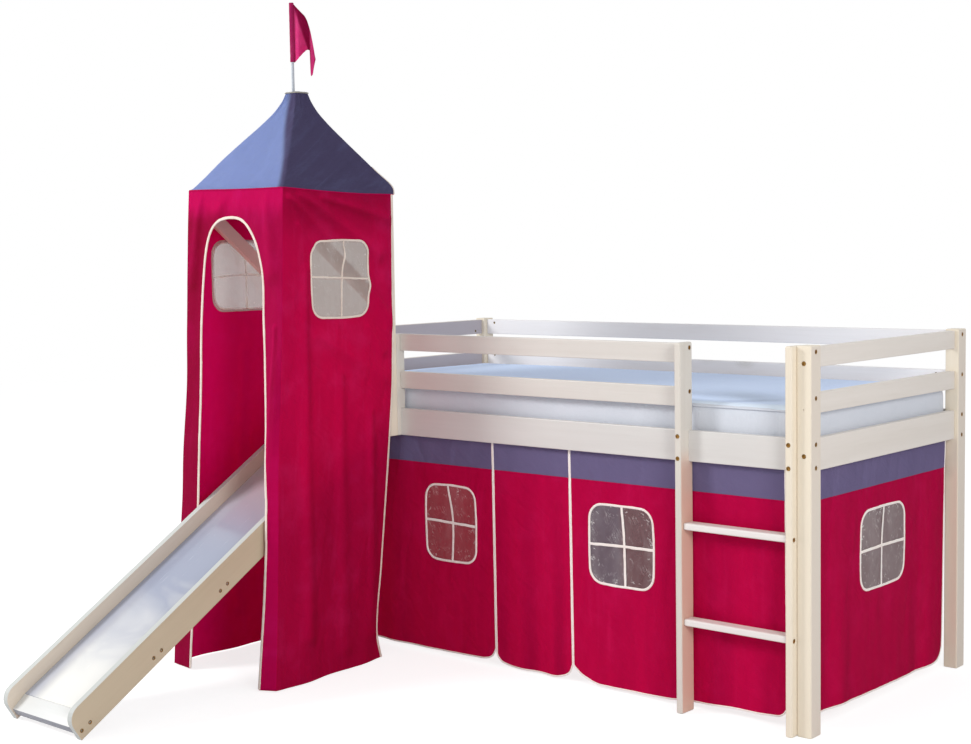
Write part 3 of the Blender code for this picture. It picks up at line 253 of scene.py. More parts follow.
def painted_pine(name, along, paint, shade, turn=(0, 0, 0), side=None, edge=None):
    f = Finish(name, Coat_Weight=0.12, Coat_Roughness=0.30, Specular_IOR_Level=0.45)
    board = f.place(STRETCH[along], turn)
    grain = f.noise(board, 120, 4, 0.6, 0.5)
    pores = f.noise(board, 620, 2, 0.6)
    wide = f.noise(board, 14, 3, 0.5, 1.0)
    cloud = f.noise(f.place(), 5.5, 2)
    knotted = f.place([0.45 if s < 1 else 1 for s in STRETCH[along]], turn)
    knot = f.cells(knotted, 7.2)
    smudge = (1 - f.step(knot, 0.03, 0.20)) * f.step(cloud, 0.46, 0.60)
    ring = f.bands(f.node("CombineXYZ", {}, {0: knot + wide * 0.05}), 0.035)
    tone = f.step(wide, 0.30, 0.75) * 0.26 + f.step(grain, 0.45, 0.80) * 0.15
    colour = f.mix(tone, rgb(paint), rgb(shade))
    colour = f.mix(smudge * 0.30 + smudge * ring * 0.10, colour, rgb("B9B2A6"))
    if side:  # painted light and shade: the face that looks toward +X, up to a height, is tinted for how it is lit
        from_x, up_to, tint = side
        facing = f.step(f.along("X"), from_x - DEEP, from_x - NEAR)
        facing = facing * (1 - f.step(f.along("Z"), up_to - 0.05, up_to + 0.03))
        colour = f.mix(facing, colour, rgb(tint))
    if edge:  # painted shade: the narrow faces between a board's two wide faces get a greyer, cooler tone, so its top edge looks less lit
        low, high, tint = edge
        x = f.along("X")
        inner = f.step(x, low + NEAR, low + DEEP) * (1 - f.step(x, high - DEEP, high - NEAR))
        colour = f.mix(inner, colour, rgb(tint))
    height = grain * 0.5 + pores * 0.25 + wide * 0.4 + smudge * ring * 0.5
    return f.feed(
        Base_Color=colour,
        Roughness=0.34 + cloud * 0.16 + grain * 0.08,
        Normal=f.bump(height, 0.0006, 0.55),
    )


PINE_ALONG_X = painted_pine("painted_pine_x", "X", "ECE8E6", "D8D2CC")
# The next three are copies of the same paint tuned for how the light falls: the side rails and front guards
# are darker, as painted shade, and the rear guards lighter, as painted light.
PINE_RAIL = painted_pine("painted_pine_rail", "X", "DAD8D6", "C8C4C0")
PINE_GUARD = painted_pine("painted_pine_guard", "X", "DDD9D4", "C9C3BB")
PINE_REAR = painted_pine("painted_pine_rear", "X", "F2F1F4", "DEDCDC")
PINE_ALONG_Y = painted_pine("painted_pine_y", "Y", "E4DED8", "D0C8BE")
# Painted shade: the right posts' +X faces have a greyer tone.
PINE_UPRIGHT = painted_pine(
    "painted_pine_z", "Z", "EEE4D2", "DACFBC", side=(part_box("post_front_right")[1].x, 2.0, "DED4C8"),
)
# The ladder's left stile and the rail's end stile are a darker copy, as painted shade, and their +X face
# below the rail takes a peach tint, a painted reflection of the crimson curtains.
PINE_STILE = painted_pine(
    "painted_pine_stile", "Z", "DCD7CF", "CAC2B8", side=(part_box("ladder_stile_left")[1].x, 0.78, "DFC0AE"),
)


def along_slope(point):
    """A point in the slide's own directions: how far up along it, and how far above it."""
    return point.y * RUN + point.z * RISE, point.z * RUN - point.y * RISE


def slope_box(name):
    """How far a CAD node reaches along and above the slope: (low, high) of each."""
    spots = [along_slope(vert.co) for vert in frame["nodes"][name].data.vertices]
    return [(min(s[k] for s in spots), max(s[k] for s in spots)) for k in (0, 1)]


def board_edge(name, tint):
    """Where a slide board lies between its wide faces, and the painted-shade tone of its edge there."""
    low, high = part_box(name)
    return low.x, high.x, tint


DOWNHILL = (-SLOPE, 0, 0)
# Painted shade: each slide board's narrow faces get a greyer edge tone, and the right board is a darker,
# warmer copy of the paint.
PINE_SLOPED = painted_pine(
    "painted_pine_slope", "Y", "DED2C3", "CABAA5", DOWNHILL, edge=board_edge("slide_board_left", "C9CDCB"),
)
PINE_SLOPED_OUT = painted_pine(
    "painted_pine_slope_out", "Y", "C8B9A0", "B4A287", DOWNHILL,
    edge=board_edge("slide_board_right", "C6CAC8"),
)
# The tower's arms and braces are a pink copy, a painted reflection of the crimson cloth round them.
PINE_TOWER = painted_pine("painted_pine_tower", "Y", "FFD4C8", "F2BEB0")
# Painted shade: the far end's boards have a lilac-grey tone on their +X faces.
PINE_FAR_END = painted_pine(
    "painted_pine_far_end", "Y", "E4DED8", "D0C8BE", side=(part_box("end_rail_left")[1].x, 2.0, "B6B0B9"),
)
CAP_TOP = painted_pine("painted_cap", "X", "E6E8E8", "D4D6D6")
# The cap's front is a grey copy of the paint, as painted shade.
CAP_FRONT = painted_pine("painted_cap_front", "X", "9C9EA8", "888A94")

# %% [markdown]
# Under the mattress nothing is painted: slats and ledgers are planed pine. The grain is a warm
# brown line drawing, so the same stretched noise is put through a colour ramp instead.


# %% Bare pine
def bare_pine(name, along):
    f = Finish(name, Specular_IOR_Level=0.35)
    board = f.place(STRETCH[along])
    grain = f.noise(board, 75, 5, 0.6, 1.2)
    pores = f.noise(board, 500, 2, 0.7)
    colour = f.node("ValToRGB", {"stops": [
        (0.30, rgb("E3C79A")), (0.52, rgb("D9B987")), (0.62, rgb("C39A63")), (0.80, rgb("DDBF90")),
    ]}, {0: grain})
    knot = f.cells(f.place([0.5 if s < 1 else 1 for s in STRETCH[along]]), 6.1)
    colour = f.mix(1 - f.step(knot, 0.05, 0.17), colour, rgb("7A4E2B"))
    return f.feed(
        Base_Color=colour,
        Roughness=0.55 + pores * 0.2,
        Normal=f.bump(grain * 0.5 + pores * 0.5, 0.0005, 0.7),
    )


BARE_PINE = bare_pine("bare_pine_slats", "Y")
BARE_PINE_LEDGER = bare_pine("bare_pine_ledgers", "X")

# %% [markdown]
# The slide's deck is a white laminate: nearly a mirror at a low angle, with the faint waviness
# of board under film, and hair-thin scuffs along it where children slide. Its colour carries painted
# reflection and shade: a painted white glare at the foot and in patches, a painted cool grey shade higher
# up and beside the left board, and a painted pinkish reflection of the crimson cloth under the tower.


# %% Slide deck, painted pole and metals
DECK_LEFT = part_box("slide_deck")[0].x


def laminate(name):
    f = Finish(name, Coat_Roughness=0.07, Specular_IOR_Level=0.5)
    down = f.place((1, 0.04, 1), DOWNHILL)
    scuff = f.step(f.noise(down, 260, 3, 0.7), 0.60, 0.78)
    waviness = f.noise(f.place(), 7, 2)
    film = f.noise(f.place(), 95, 2)
    height = f.along("Z")
    glare_patches = f.noise(f.place((3, 5, 5)), 1.0, 3, 0.5, 0.6)
    shaded = 1 - f.step(f.along("X") + height * 0.10, DECK_LEFT + 0.03, DECK_LEFT + 0.11)
    # painted reflection: white glare low on the deck and in patches, dimmed beside the left board as painted
    # shade
    low = (1 - f.step(height + glare_patches * 0.22, 0.20, 0.46)) * 0.95 + f.step(glare_patches, 0.52, 0.66) * 0.22
    low = low * (1 - shaded * 0.75)  # the left side board shades the strip beside it
    # painted shade and reflection: a cool grey higher up, turning pinkish under the tower
    colour = f.mix(f.step(height, 0.42, 0.72), rgb("9DA5BC"), rgb("CCB9BC"))
    colour = f.mix(low, colour, rgb("F6F6F2"))
    colour = f.mix(scuff * 0.2, colour, rgb("DDE0E8"))
    return f.feed(
        Base_Color=colour,
        Roughness=0.12 + waviness * 0.12 + scuff * 0.18,
        Coat_Weight=0.25 + low * 0.35,
        Normal=f.bump(waviness * 1.0 + film * 0.03, 0.0030, 0.35),
    )


def pole_paint(name):
    f = Finish(name, Coat_Weight=0.2, Coat_Roughness=0.2)
    run = f.noise(f.place((1, 1, 0.05)), 260, 3)
    speck = f.noise(f.place(), 900, 2)
    return f.feed(
        Base_Color=f.mix(run, rgb("BFC5CE"), rgb("A2AAB6")), Roughness=0.32 + speck * 0.2,
        Normal=f.bump(run + speck * 0.4, 0.0003, 0.5),
    )


def metal(name, bright, dull, scale, rough):
    f = Finish(name, Metallic=1.0)
    patina = f.noise(f.place(), scale, 4, 0.65)
    scratch = f.noise(f.place((1, 1, 0.1)), scale * 9, 2)
    return f.feed(
        Base_Color=f.mix(f.step(patina, 0.42, 0.68), rgb(bright), rgb(dull)),
        Roughness=rough + patina * 0.22, Normal=f.bump(scratch + patina, 0.0002, 0.5),
    )


DECK_WHITE = laminate("slide_laminate")
POLE_WHITE = pole_paint("pole_paint")
HOOK_STEEL = metal("hook_zinc", "B9BCC0", "8F9398", 160, 0.28)
BOLT_BRASS = metal("bolt_brass", "B48A4C", "3E2A18", 420, 0.26)
NUT_BRASS = metal("nut_brass", "8A7440", "4A3B22", 420, 0.34)

# %% [markdown]
# ## Cotton
# The walls, roof, curtains and flag are one plain-woven cotton in different dyes. Close up there
# are two sets of threads about 0.9 mm apart, some thicker than others. From a step back there are
# only soft worn patches. The threads follow the cloth, so they are drawn in each piece's own flat
# coordinates in metres, kept as a UV map that is named cloth.


# %% Woven cotton
THREAD = 0.0009
THROUGH = 0.38  # how much of the light that falls on its back a cloth shows


def cotton(name, dye, worn, fuzz, patch=0.40, deep=None):
    f = Finish(name, Sheen_Weight=0.03, Sheen_Roughness=0.40, Sheen_Tint=rgb(fuzz), Specular_IOR_Level=0.09)
    flat = f.place(uv="cloth")
    warp = f.bands(flat, THREAD)
    weft = f.bands(flat, THREAD, "Y")
    slub = f.noise(f.place((900, 30, 1), uv="cloth"), 1.0, 2)
    slub = slub + f.noise(f.place((30, 900, 1), uv="cloth"), 1.0, 2)
    patches = f.noise(flat, 7.5, 5, 0.62)
    streaks = f.noise(f.place((30, 3.0, 1), uv="cloth"), 1.0, 4, 0.6)
    speckle = f.noise(flat, 420, 2, 0.7)
    crush = f.noise(flat, 60, 4, 0.6, 0.8)
    hang = f.noise(f.place((13, 2.6, 1), (0, 0, 0.18), uv="cloth"), 1.0, 2, 0.4, 0.4)
    slack = f.noise(f.place((9, 22, 1), (0, 0, 0.7), uv="cloth"), 1.0, 3, 0.5, 0.5)
    rubbed = f.step(streaks, 0.53, 0.72) * f.step(speckle, 0.30, 0.70)
    faded = f.step(patches, 0.44, 0.74) * patch + rubbed * patch * 1.3 + (slub - 1.0) * 0.35
    colour = f.mix(faded, rgb(dye), rgb(worn))
    colour = f.mix(warp * weft * 0.25, colour, rgb(worn))
    if deep:  # painted shade: the colour turns toward the deep colour by the number kept at each point
        colour = f.mix(f.kept("kept_dye"), colour, f.mix(faded * 0.4, rgb(deep), rgb(dye)))
    weave = f.bump(warp * 0.25 + weft * 0.25 + slub * 0.15 + crush * 1.3, 0.0007, 0.60)
    f.feed(
        Base_Color=colour,
        Roughness=0.78 + patches * 0.14,
        Normal=f.bump(hang + slack * 0.45, 0.016, 0.75, weave),
    )
    return f.let_light_through(colour, THROUGH)


# Each deep colour below is painted shade. The walls' front-facing faces take a copy of the crimson with a
# lighter painted shade colour.
WALL_COTTON = cotton("crimson_cotton", "DA0054", "E42878", "E05088", deep="7C0018")
FLAP_COTTON = cotton("crimson_cotton_front", "D80060", "E41C80", "F070A8", deep="98002E")
# painted light: a brighter copy of the crimson for the inside of the left wall, for the light that comes
# through the cloth
INSIDE_LIT_COTTON = cotton("crimson_cotton_inside_painted_light", "ED007C", "F21C8C", "E05088")
CURTAIN_COTTON = cotton("crimson_cotton_curtain", "D80052", "E61C6C", "E05088", 0.34, deep="8C0034")
BAND_COTTON = cotton("violet_cotton", "847AA4", "9489B4", "A8A6D0", 0.25)
ROOF_COTTON = cotton("blue_cotton", "96A8DC", "A6B6E4", "B8C6F0", 0.3, deep="5E577C")
FLAG_COTTON = cotton("magenta_cotton", "E83C90", "F070AC", "FF9AC8", 0.4, deep="9C0846")

# %% [markdown]
# Every raw edge is bound with cream bias tape, which is folded over it and sewn near its inner
# edge. Its threads run at 45 degrees, and it puckers a little between stitches.


# %% Bias tape
def bias_tape(name, tape="FBF0E6", shade="E6D3C8", through=0.12):
    f = Finish(name, Sheen_Weight=0.15, Sheen_Roughness=0.5, Specular_IOR_Level=0.25)
    cross = f.bands(f.place(turn=(0, 0, math.pi / 4), uv="cloth"), 0.0007)
    over = f.bands(f.place(turn=(0, 0, -math.pi / 4), uv="cloth"), 0.0007)
    pucker = f.noise(f.place((240, 60, 1), uv="cloth"), 1.0, 2)
    soil = f.noise(f.place(), 16, 3)
    colour = f.mix(f.step(soil, 0.35, 0.75) * 0.5 + pucker * 0.25, rgb(tape), rgb(shade))
    f.feed(
        Base_Color=colour, Roughness=0.72 + soil * 0.15,
        Normal=f.bump(cross * 0.2 + over * 0.2 + pucker, 0.0006, 0.7),
    )
    return f.let_light_through(colour, through)


CREAM_TAPE = bias_tape("cream_tape")
# The next two are whiter copies of the cream tape, painted lighter: the left window's tape for the light that
# shines through it, and the curtains' tape for the shade they hang in.
BACKLIT_TAPE = bias_tape("window_tape_left", "FFFFFF", "FFF6EA", 0.85)
CURTAIN_TAPE = bias_tape("curtain_tape", "FFFAF7", "FCECE6", 0.04)
GREY_TAPE = bias_tape("rim_tape", "C2BEB2", "9C988C")

# %% [markdown]
# The windows are clear plastic film. Film that was folded in a box keeps a net of fine white
# creases, mostly near the seam, and turns milky; the white of the creases is partly whitened film and
# partly painted glints. It is a thin shell that is seen through by its alpha rather than real glass,
# because a film this thin bends no light. Each window has a tone of its own, painted for the shade and
# cloth that lie behind it in the photograph.


# %% Clear film
def film(name, tint, clear, crease, other=None):
    f = Finish(name, Specular_IOR_Level=0.25, Coat_Roughness=0.05)
    flat = f.place(uv="cloth")
    ripple = f.noise(f.place((9, 4, 1), uv="cloth"), 1.0, 3, 0.6, 0.8)
    shard = f.cells(f.place((52, 150, 1), (0, 0, 0.7), uv="cloth"), 1.0, "DISTANCE_TO_EDGE")
    hair = f.cells(f.place((190, 17, 1), (0, 0, -0.5), uv="cloth"), 1.0, "DISTANCE_TO_EDGE")
    edge = f.kept("rim")
    spots = f.step(f.noise(flat, 44, 2, 0.6), 0.55, 0.62)
    # the white flecks and rays are creases, partly whitened film and partly painted glints
    flecks = (1 - f.step(shard, 0.0, 0.060)) * spots * (edge * 0.95 + 0.06)
    rays = (1 - f.step(hair, 0.0, 0.05)) * f.step(f.noise(flat, 21, 2), 0.50, 0.66) * 0.36
    lines = (flecks + rays) * crease
    cloudy = f.step(ripple, 0.35, 0.75)
    behind = rgb(tint)
    if other:  # painted stand-in for what lies behind: it changes across the film
        behind = f.mix(f.step(f.kept("across"), 0.42, 0.60), behind, rgb(other))
    return f.feed(
        Base_Color=f.mix(lines + cloudy * 0.10, behind, rgb("FFFFFF")),
        Alpha=clear + cloudy * 0.08 + lines,
        Coat_Weight=0.25 + cloudy * 0.25,
        Roughness=0.16 + cloudy * 0.10,
        Normal=f.bump(ripple + lines * 0.3, 0.0025, 0.9),
    )


# Each tint is a painted stand-in for the shade, cloth and frame seen through that window.
TOWER_FILM = film("tower_film", "B0A29C", 0.66, 0.35)
FAR_FILM = film("tower_film_left", "DCD0CC", 0.52, 0.35)
LEFT_FILM = film("curtain_film_left", "A01832", 0.84, 0.9)
RIGHT_FILM = film("curtain_film_right", "604E5C", 0.82, 1.0, "663C42")
END_FILM = film("curtain_film_end", "785F62", 0.80, 0.8)
WINDOW_TAPES = {TOWER_FILM: CREAM_TAPE, FAR_FILM: BACKLIT_TAPE}  # a curtain's window has CURTAIN_TAPE

# %% [markdown]
# ## Mattress cover
# The top is a smooth pale blue knit, and the border a lighter one with fine upright ribs.


# %% Mattress cover
def knit(name, yarn, shade, rib, sheen=0.2, fuzz="E8F0FF"):
    f = Finish(name, Sheen_Weight=sheen, Sheen_Roughness=0.5, Sheen_Tint=rgb(fuzz), Specular_IOR_Level=0.2)
    loops = f.cells(f.place((1, 1, 0.6)), 620)
    puff = f.noise(f.place(), 9, 3, 0.5)
    crumple = f.noise(f.place((1, 1, 1.6)), 46, 4, 0.6, 0.6)
    ribs = f.bands(f.place(), 0.011) * rib
    colour = f.mix(puff * 0.5 + crumple * 0.3 + loops * 0.15, rgb(yarn), rgb(shade))
    return f.feed(
        Base_Color=colour, Roughness=0.80 + loops * 0.15,
        Normal=f.bump(loops * 0.2 + crumple * 0.8 + ribs * 0.4, 0.0012, 0.55),
    )


COVER_TOP = knit("mattress_top_knit", "EAF8FF", "DEEAFF", 0.0, 0.6, "B4CCFF")
COVER_BORDER = knit("mattress_border_knit", "DEE2EC", "CED5E0", 1.0)
print("finishes made:", len(bpy.data.materials))

# %% [markdown]
# ## Dress the hard parts
# A CAD node keeps its own mesh, and its one slot gets the finish for the way its board runs.

# %% Finishes on the CAD nodes
BOARD_FINISHES = (
    ("post_", PINE_UPRIGHT), ("ladder_stile_left", PINE_STILE), ("ladder_stile_right", PINE_UPRIGHT),
    ("rail_end_stile", PINE_STILE), ("ladder_rung_", PINE_ALONG_X), ("side_rail_", PINE_RAIL),
    ("guard_front", PINE_GUARD), ("guard_rear", PINE_REAR),
    ("end_guard_left", PINE_FAR_END), ("end_rail_left", PINE_FAR_END),
    ("end_", PINE_ALONG_Y), ("slide_board_left", PINE_SLOPED), ("slide_board_right", PINE_SLOPED_OUT),
    ("slide_batten_", PINE_ALONG_X), ("slide_foot_board", PINE_ALONG_X), ("slide_deck", DECK_WHITE),
    ("slide_hook_", HOOK_STEEL),
    ("tower_upright_", PINE_UPRIGHT), ("tower_king_", PINE_UPRIGHT), ("tower_arm_", PINE_TOWER),
    ("tower_brace_", PINE_TOWER), ("tower_", PINE_ALONG_X), ("flag_pole", POLE_WHITE),
    ("ledger_", BARE_PINE_LEDGER), ("slatted_base", BARE_PINE),
)
for name, node in frame["nodes"].items():
    for start, finish in BOARD_FINISHES:
        if name.startswith(start):
            node.data.materials.clear()
            node.data.materials.append(finish)
            break

# %% [markdown]
# ## Places and shape tables
# The cloth hangs from the frame, so its places are read from the frame. How it flares, folds and is
# cut is written as shares, the same ones that the CAD solids follow, and read through smooth curves.

# %% Places and tables
GAP = 0.0003
CLOTH = 0.0025  # thickness of the CAD solids, so the outer faces match
COTTON = 0.0013  # thickness of the cloth made here
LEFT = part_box("tower_upright_left")[0].x
TOWER_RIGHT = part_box("tower_upright_right")[1].x
TOWER_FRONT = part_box("tower_front_bar")[0].y
UPRIGHT_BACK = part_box("tower_upright_left")[1].y
BED_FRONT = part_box("post_front_right")[0].y
SIDE_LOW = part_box("side_rail_front")[0].z
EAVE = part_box("tower_front_bar")[1].z + 3 * GAP
TOWER_WIDTH = TOWER_RIGHT - LEFT
PEAK = Vector((*(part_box("flag_pole")[0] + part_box("flag_pole")[1]).xy / 2, EAVE + 0.332))

DROPS = (0.0, 0.09, 0.18, 0.285, 0.41, 0.54, 0.66, 0.80, 0.945, 1.0)
FRONT_FLARE = tuple(0.122 * s for s in (0.0, 0.05, 0.10, 0.16, 0.26, 0.43, 0.57, 0.75, 0.94, 1.0))
RIGHT_FLARE = tuple(0.045 * s for s in (0.0, 0.01, 0.02, 0.03, 0.11, 0.22, 0.44, 0.70, 0.94, 1.0))
LEFT_FLARE = tuple(0.045 * s for s in (0.05, 0.15, 0.19, 0.22, 0.29, 0.36, 0.42, 0.46, 0.50, 0.50))
REAR_PULL = tuple(0.126 * s for s in (0.0, 0.02, 0.04, 0.06, 0.14, 0.32, 0.52, 0.76, 1.0, 0.86))
FLAP_TURN = tuple(0.030 * s for s in (0.0, 0.0, 0.0, 0.0, 0.43, 0.50, 0.90, 0.90, 0.95, 1.0))
FOLD_GROWTH = tuple(0.014 * s for s in (0.0, 0.0, 0.0, 0.0, 0.35, 0.6, 0.8, 0.9, 1.0, 1.0))
WALL_FOLD = ((0.0, 0.0), (0.25, 0.8), (0.5, 0.1), (0.75, 0.9), (1.0, 0.0))
EAVE_SAG = ((0.0, 0.0), (0.25, 0.45), (0.5, 0.8), (0.75, 1.0), (1.0, 1.0))
WALL_HEM = 0.004


def smooth(table, share):
    """Read a table of (share, value) pairs by a curve that never overshoots its marks."""
    if share <= table[0][0]:
        return table[0][1]
    if share >= table[-1][0]:
        return table[-1][1]
    for i in range(len(table) - 1):
        if share <= table[i + 1][0]:
            break
    slopes = [(b[1] - a[1]) / (b[0] - a[0]) for a, b in zip(table, table[1:])]

    def lean(k):
        if k == 0 or k == len(table) - 1:
            return slopes[min(k, len(slopes) - 1)]
        a, b = slopes[k - 1], slopes[k]
        return 0.0 if a * b <= 0 else 2 * a * b / (a + b)

    wide = table[i + 1][0] - table[i][0]
    t = (share - table[i][0]) / wide
    a, b = table[i][1], table[i + 1][1]
    return (
        (1 + 2 * t) * (1 - t) ** 2 * a + t * (1 - t) ** 2 * wide * lean(i)
        + t * t * (3 - 2 * t) * b + t * t * (t - 1) * wide * lean(i + 1)
    )


def wave(x, y, z):
    """Smooth noise, about -1 to 1."""
    return noise.noise(Vector((x, y, z)))


def fade(low, high, value):
    """0 under low, 1 over high, and smooth between."""
    t = min(1.0, max(0.0, (value - low) / (high - low)))
    return t * t * (3 - 2 * t)


def spread(low, high, step):
    """Even marks from low to high, about a step apart."""
    count = max(1, round(abs(high - low) / step))
    return [low + (high - low) * i / count for i in range(count + 1)]


print("tower", round(TOWER_WIDTH, 4), "m wide, eaves at", round(EAVE, 4))

# %% [markdown]
# ## Tools for cloth
# A sheet starts as a flat grid, and each of its points is draped to its place. Its flat
# coordinates are kept as a UV map in metres, Solidify gives it its thickness, and openings are cut
# right through with a prism, so the cut edges stay clean for the binding.


# %% Cloth tools
MERGE = 0.00002  # points closer than this are one


def only(obj):
    """Select one object alone."""
    bpy.ops.object.select_all(action="DESELECT")
    obj.select_set(True)
    bpy.context.view_layer.objects.active = obj
    return obj


def apply_all(obj):
    only(obj)
    for modifier in list(obj.modifiers):
        bpy.ops.object.modifier_apply(modifier=modifier.name)
    return obj


def mend(obj, merge=0.0, outward=True):
    """Merge the points that lie closer than this, and turn all faces outward."""
    only(obj)
    bpy.ops.object.mode_set(mode="EDIT")
    bpy.ops.mesh.select_all(action="SELECT")
    if merge:
        bpy.ops.mesh.remove_doubles(threshold=merge)
    if outward:
        bpy.ops.mesh.normals_make_consistent(inside=False)
    bpy.ops.object.mode_set(mode="OBJECT")
    return obj


def thicken(obj, thick):
    """Give a sheet its thickness, inward from the face that was drawn."""
    solid = obj.modifiers.new("thickness", "SOLIDIFY")
    solid.thickness = thick
    solid.offset = -1
    return apply_all(obj)


def mark_points(obj, name, amount):
    """Write a number at each point of the mesh, for a finish to read."""
    marks = obj.data.attributes.new(name, "FLOAT", "POINT").data
    for mark, vert in zip(marks, obj.data.vertices):
        mark.value = amount(vert)


def drape(name, columns, rows, place, toward, thick=COTTON, flat=None):
    """A sheet of cloth: place(column, row) is its outer face, and toward a direction out of it."""
    bpy.ops.object.select_all(action="DESELECT")
    bpy.ops.mesh.primitive_grid_add(x_subdivisions=len(columns) - 1, y_subdivisions=len(rows) - 1, size=2)
    obj = bpy.context.object
    obj.name = name
    mesh = obj.data
    mesh.uv_layers[0].name = "cloth"
    spots = []
    for vert in mesh.vertices:
        c = columns[round((vert.co.x + 1) / 2 * (len(columns) - 1))]
        r = rows[round((vert.co.y + 1) / 2 * (len(rows) - 1))]
        vert.co = place(c, r)
        spots.append(flat(c, r) if flat else (c, vert.co.z))
    for loop, uv in zip(mesh.loops, mesh.uv_layers[0].data):
        uv.uv = spots[loop.vertex_index]
    mesh.update()
    facing = sum((p.normal * p.area for p in mesh.polygons), Vector())
    if facing.dot(Vector(toward)) < 0:
        mesh.flip_normals()
    return thicken(obj, thick) if thick else obj


def prism(name, outline, low, high, axis):
    """A flat outline pushed along X, Y or Z, to cut with or to start a block from."""
    data = bpy.data.curves.new(name, "CURVE")
    data.dimensions = "2D"
    data.fill_mode = "BOTH"
    data.extrude = (high - low) / 2
    line = data.splines.new("POLY")
    line.points.add(len(outline) - 1)
    for point, (along, up) in zip(line.points, outline):
        point.co = (along, up, 0, 1)
    line.use_cyclic_u = True
    obj = bpy.data.objects.new(name, data)
    bpy.context.scene.collection.objects.link(obj)
    mid = (low + high) / 2
    quarter = math.pi / 2
    obj.location = [mid if letter == axis else 0 for letter in "XYZ"]
    obj.rotation_euler = {"X": (quarter, 0, quarter), "Y": (quarter, 0, 0), "Z": (0, 0, 0)}[axis]
    only(obj)
    bpy.ops.object.convert(target="MESH")
    bpy.ops.object.transform_apply(location=True, rotation=True, scale=True)
    return mend(obj, MERGE / 2)


def cut(obj, helper, how="DIFFERENCE"):
    tool = obj.modifiers.new("cut", "BOOLEAN")
    tool.operation = how
    tool.solver = "EXACT"
    tool.object = helper
    apply_all(obj)
    bpy.data.objects.remove(helper)
    return obj


def soften(obj, angle=35):
    only(obj)
    bpy.ops.object.shade_smooth_by_angle(angle=math.radians(angle))
    return obj


def finish_piece(obj, body, materials, stands_for=()):
    """Give a piece its finishes and hide the CAD nodes it stands for; a body name attaches it, while a tuple
    only has its transform baked in.
    """
    obj.data.materials.clear()
    for material in materials:
        obj.data.materials.append(material)
    if isinstance(body, tuple):
        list(body)
        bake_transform(obj)
    else:
        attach(obj, body)
    if stands_for:
        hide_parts(*stands_for)
    return obj


def ring(half_u, half_w, radius, mid_u=0.0, mid_w=0.0, steps=7):
    """A rounded rectangle as a closed line, with this many points round each corner."""
    points = []
    for turn, (su, sw) in enumerate(((1, 1), (-1, 1), (-1, -1), (1, -1))):
        for step in range(steps):
            angle = math.pi / 2 * (turn + step / (steps - 1))
            points.append((
                mid_u + su * (half_u - radius) + radius * math.cos(angle),
                mid_w + sw * (half_w - radius) + radius * math.sin(angle),
            ))
    return points


def evened(line, step, closed=False):
    """The line again, with points about a step apart."""
    line = [Vector(p) for p in line] + ([Vector(line[0])] if closed else [])
    lengths = [0.0]
    for a, b in zip(line, line[1:]):
        lengths.append(lengths[-1] + (b - a).length)
    count = max(2, round(lengths[-1] / step))
    points = []
    k = 0
    for i in range(count + (0 if closed else 1)):
        far = lengths[-1] * i / count
        while k < len(lengths) - 2 and lengths[k + 1] < far:
            k += 1
        span = max(lengths[k + 1] - lengths[k], 1e-9)
        points.append(line[k].lerp(line[k + 1], (far - lengths[k]) / span))
    return points


SIDES = 10  # of a binding's oval


def binding(name, points, outward, wide, thick, closed=False):
    """Bias tape over an edge: a flat oval swept along it. outward(point) is the way out of the cloth."""
    turns = [math.tau * k / SIDES for k in range(SIDES)]
    section = [(math.cos(turn) * wide / 2, math.sin(turn) * thick / 2) for turn in turns]
    verts = []
    marks = []
    along = 0.0
    count = len(points)
    for i, spot in enumerate(points):
        before = points[i - 1] if i or closed else spot
        after = points[(i + 1) % count] if i < count - 1 or closed else spot
        run = (after - before).normalized()
        out = Vector(outward(spot)).normalized()
        side = run.cross(out).normalized()
        out = side.cross(run).normalized()
        along += (spot - points[i - 1]).length if i else 0.0
        swell = 1 + 0.14 * wave(along * 90, spot.x, spot.z)
        for a, b in section:
            verts.append(spot + side * a * swell + out * b * swell)
        marks.append(along)
    faces = []
    flats = []
    last = count if closed else count - 1
    for i in range(last):
        j = (i + 1) % count
        ahead = marks[j] if j else marks[-1] + (points[0] - points[-1]).length
        for k in range(SIDES):
            m = (k + 1) % SIDES
            faces.append((i * SIDES + k, j * SIDES + k, j * SIDES + m, i * SIDES + m))
            low, high = 2 * wide * k / SIDES, 2 * wide * (k + 1) / SIDES
            flats.append(((marks[i], low), (ahead, low), (ahead, high), (marks[i], high)))
    if not closed:
        faces.append(tuple(range(SIDES)))
        faces.append(tuple(reversed(range((count - 1) * SIDES, count * SIDES))))
        flats += [((0, 0),) * SIDES] * 2
    mesh = bpy.data.meshes.new(name)
    mesh.from_pydata(verts, [], faces)
    layer = mesh.uv_layers.new(name="cloth")
    for poly, flat in zip(mesh.polygons, flats):
        for index, uv in zip(poly.loop_indices, flat):
            layer.data[index].uv = uv
    obj = bpy.data.objects.new(name, mesh)
    bpy.context.scene.collection.objects.link(obj)
    return soften(mend(obj), 60)


def side_out(side):
    """The way out of the tower's left or right wall."""
    return (-1 if side == "left" else 1, 0, 0)


# %% [markdown]
# ## The tower's walls
# Three walls are one piece of cotton that hangs from the eaves in front of the bed. It is nearly
# square at the top, and flares at the floor as it stands away from the slide. The plan line is
# worked out at each height, with soft corners, and folds are pushed out of it.

# %% Wall shape
SPANS = (40, 14, 30, 18, 5, 60)  # columns in each straight run of the plan
CORNER = 0.004
EAVE_OUT = CLOTH + GAP
WALL_RUNS = {"left": (0,), "front": (1, 2, 3, 4), "right": (5,)}
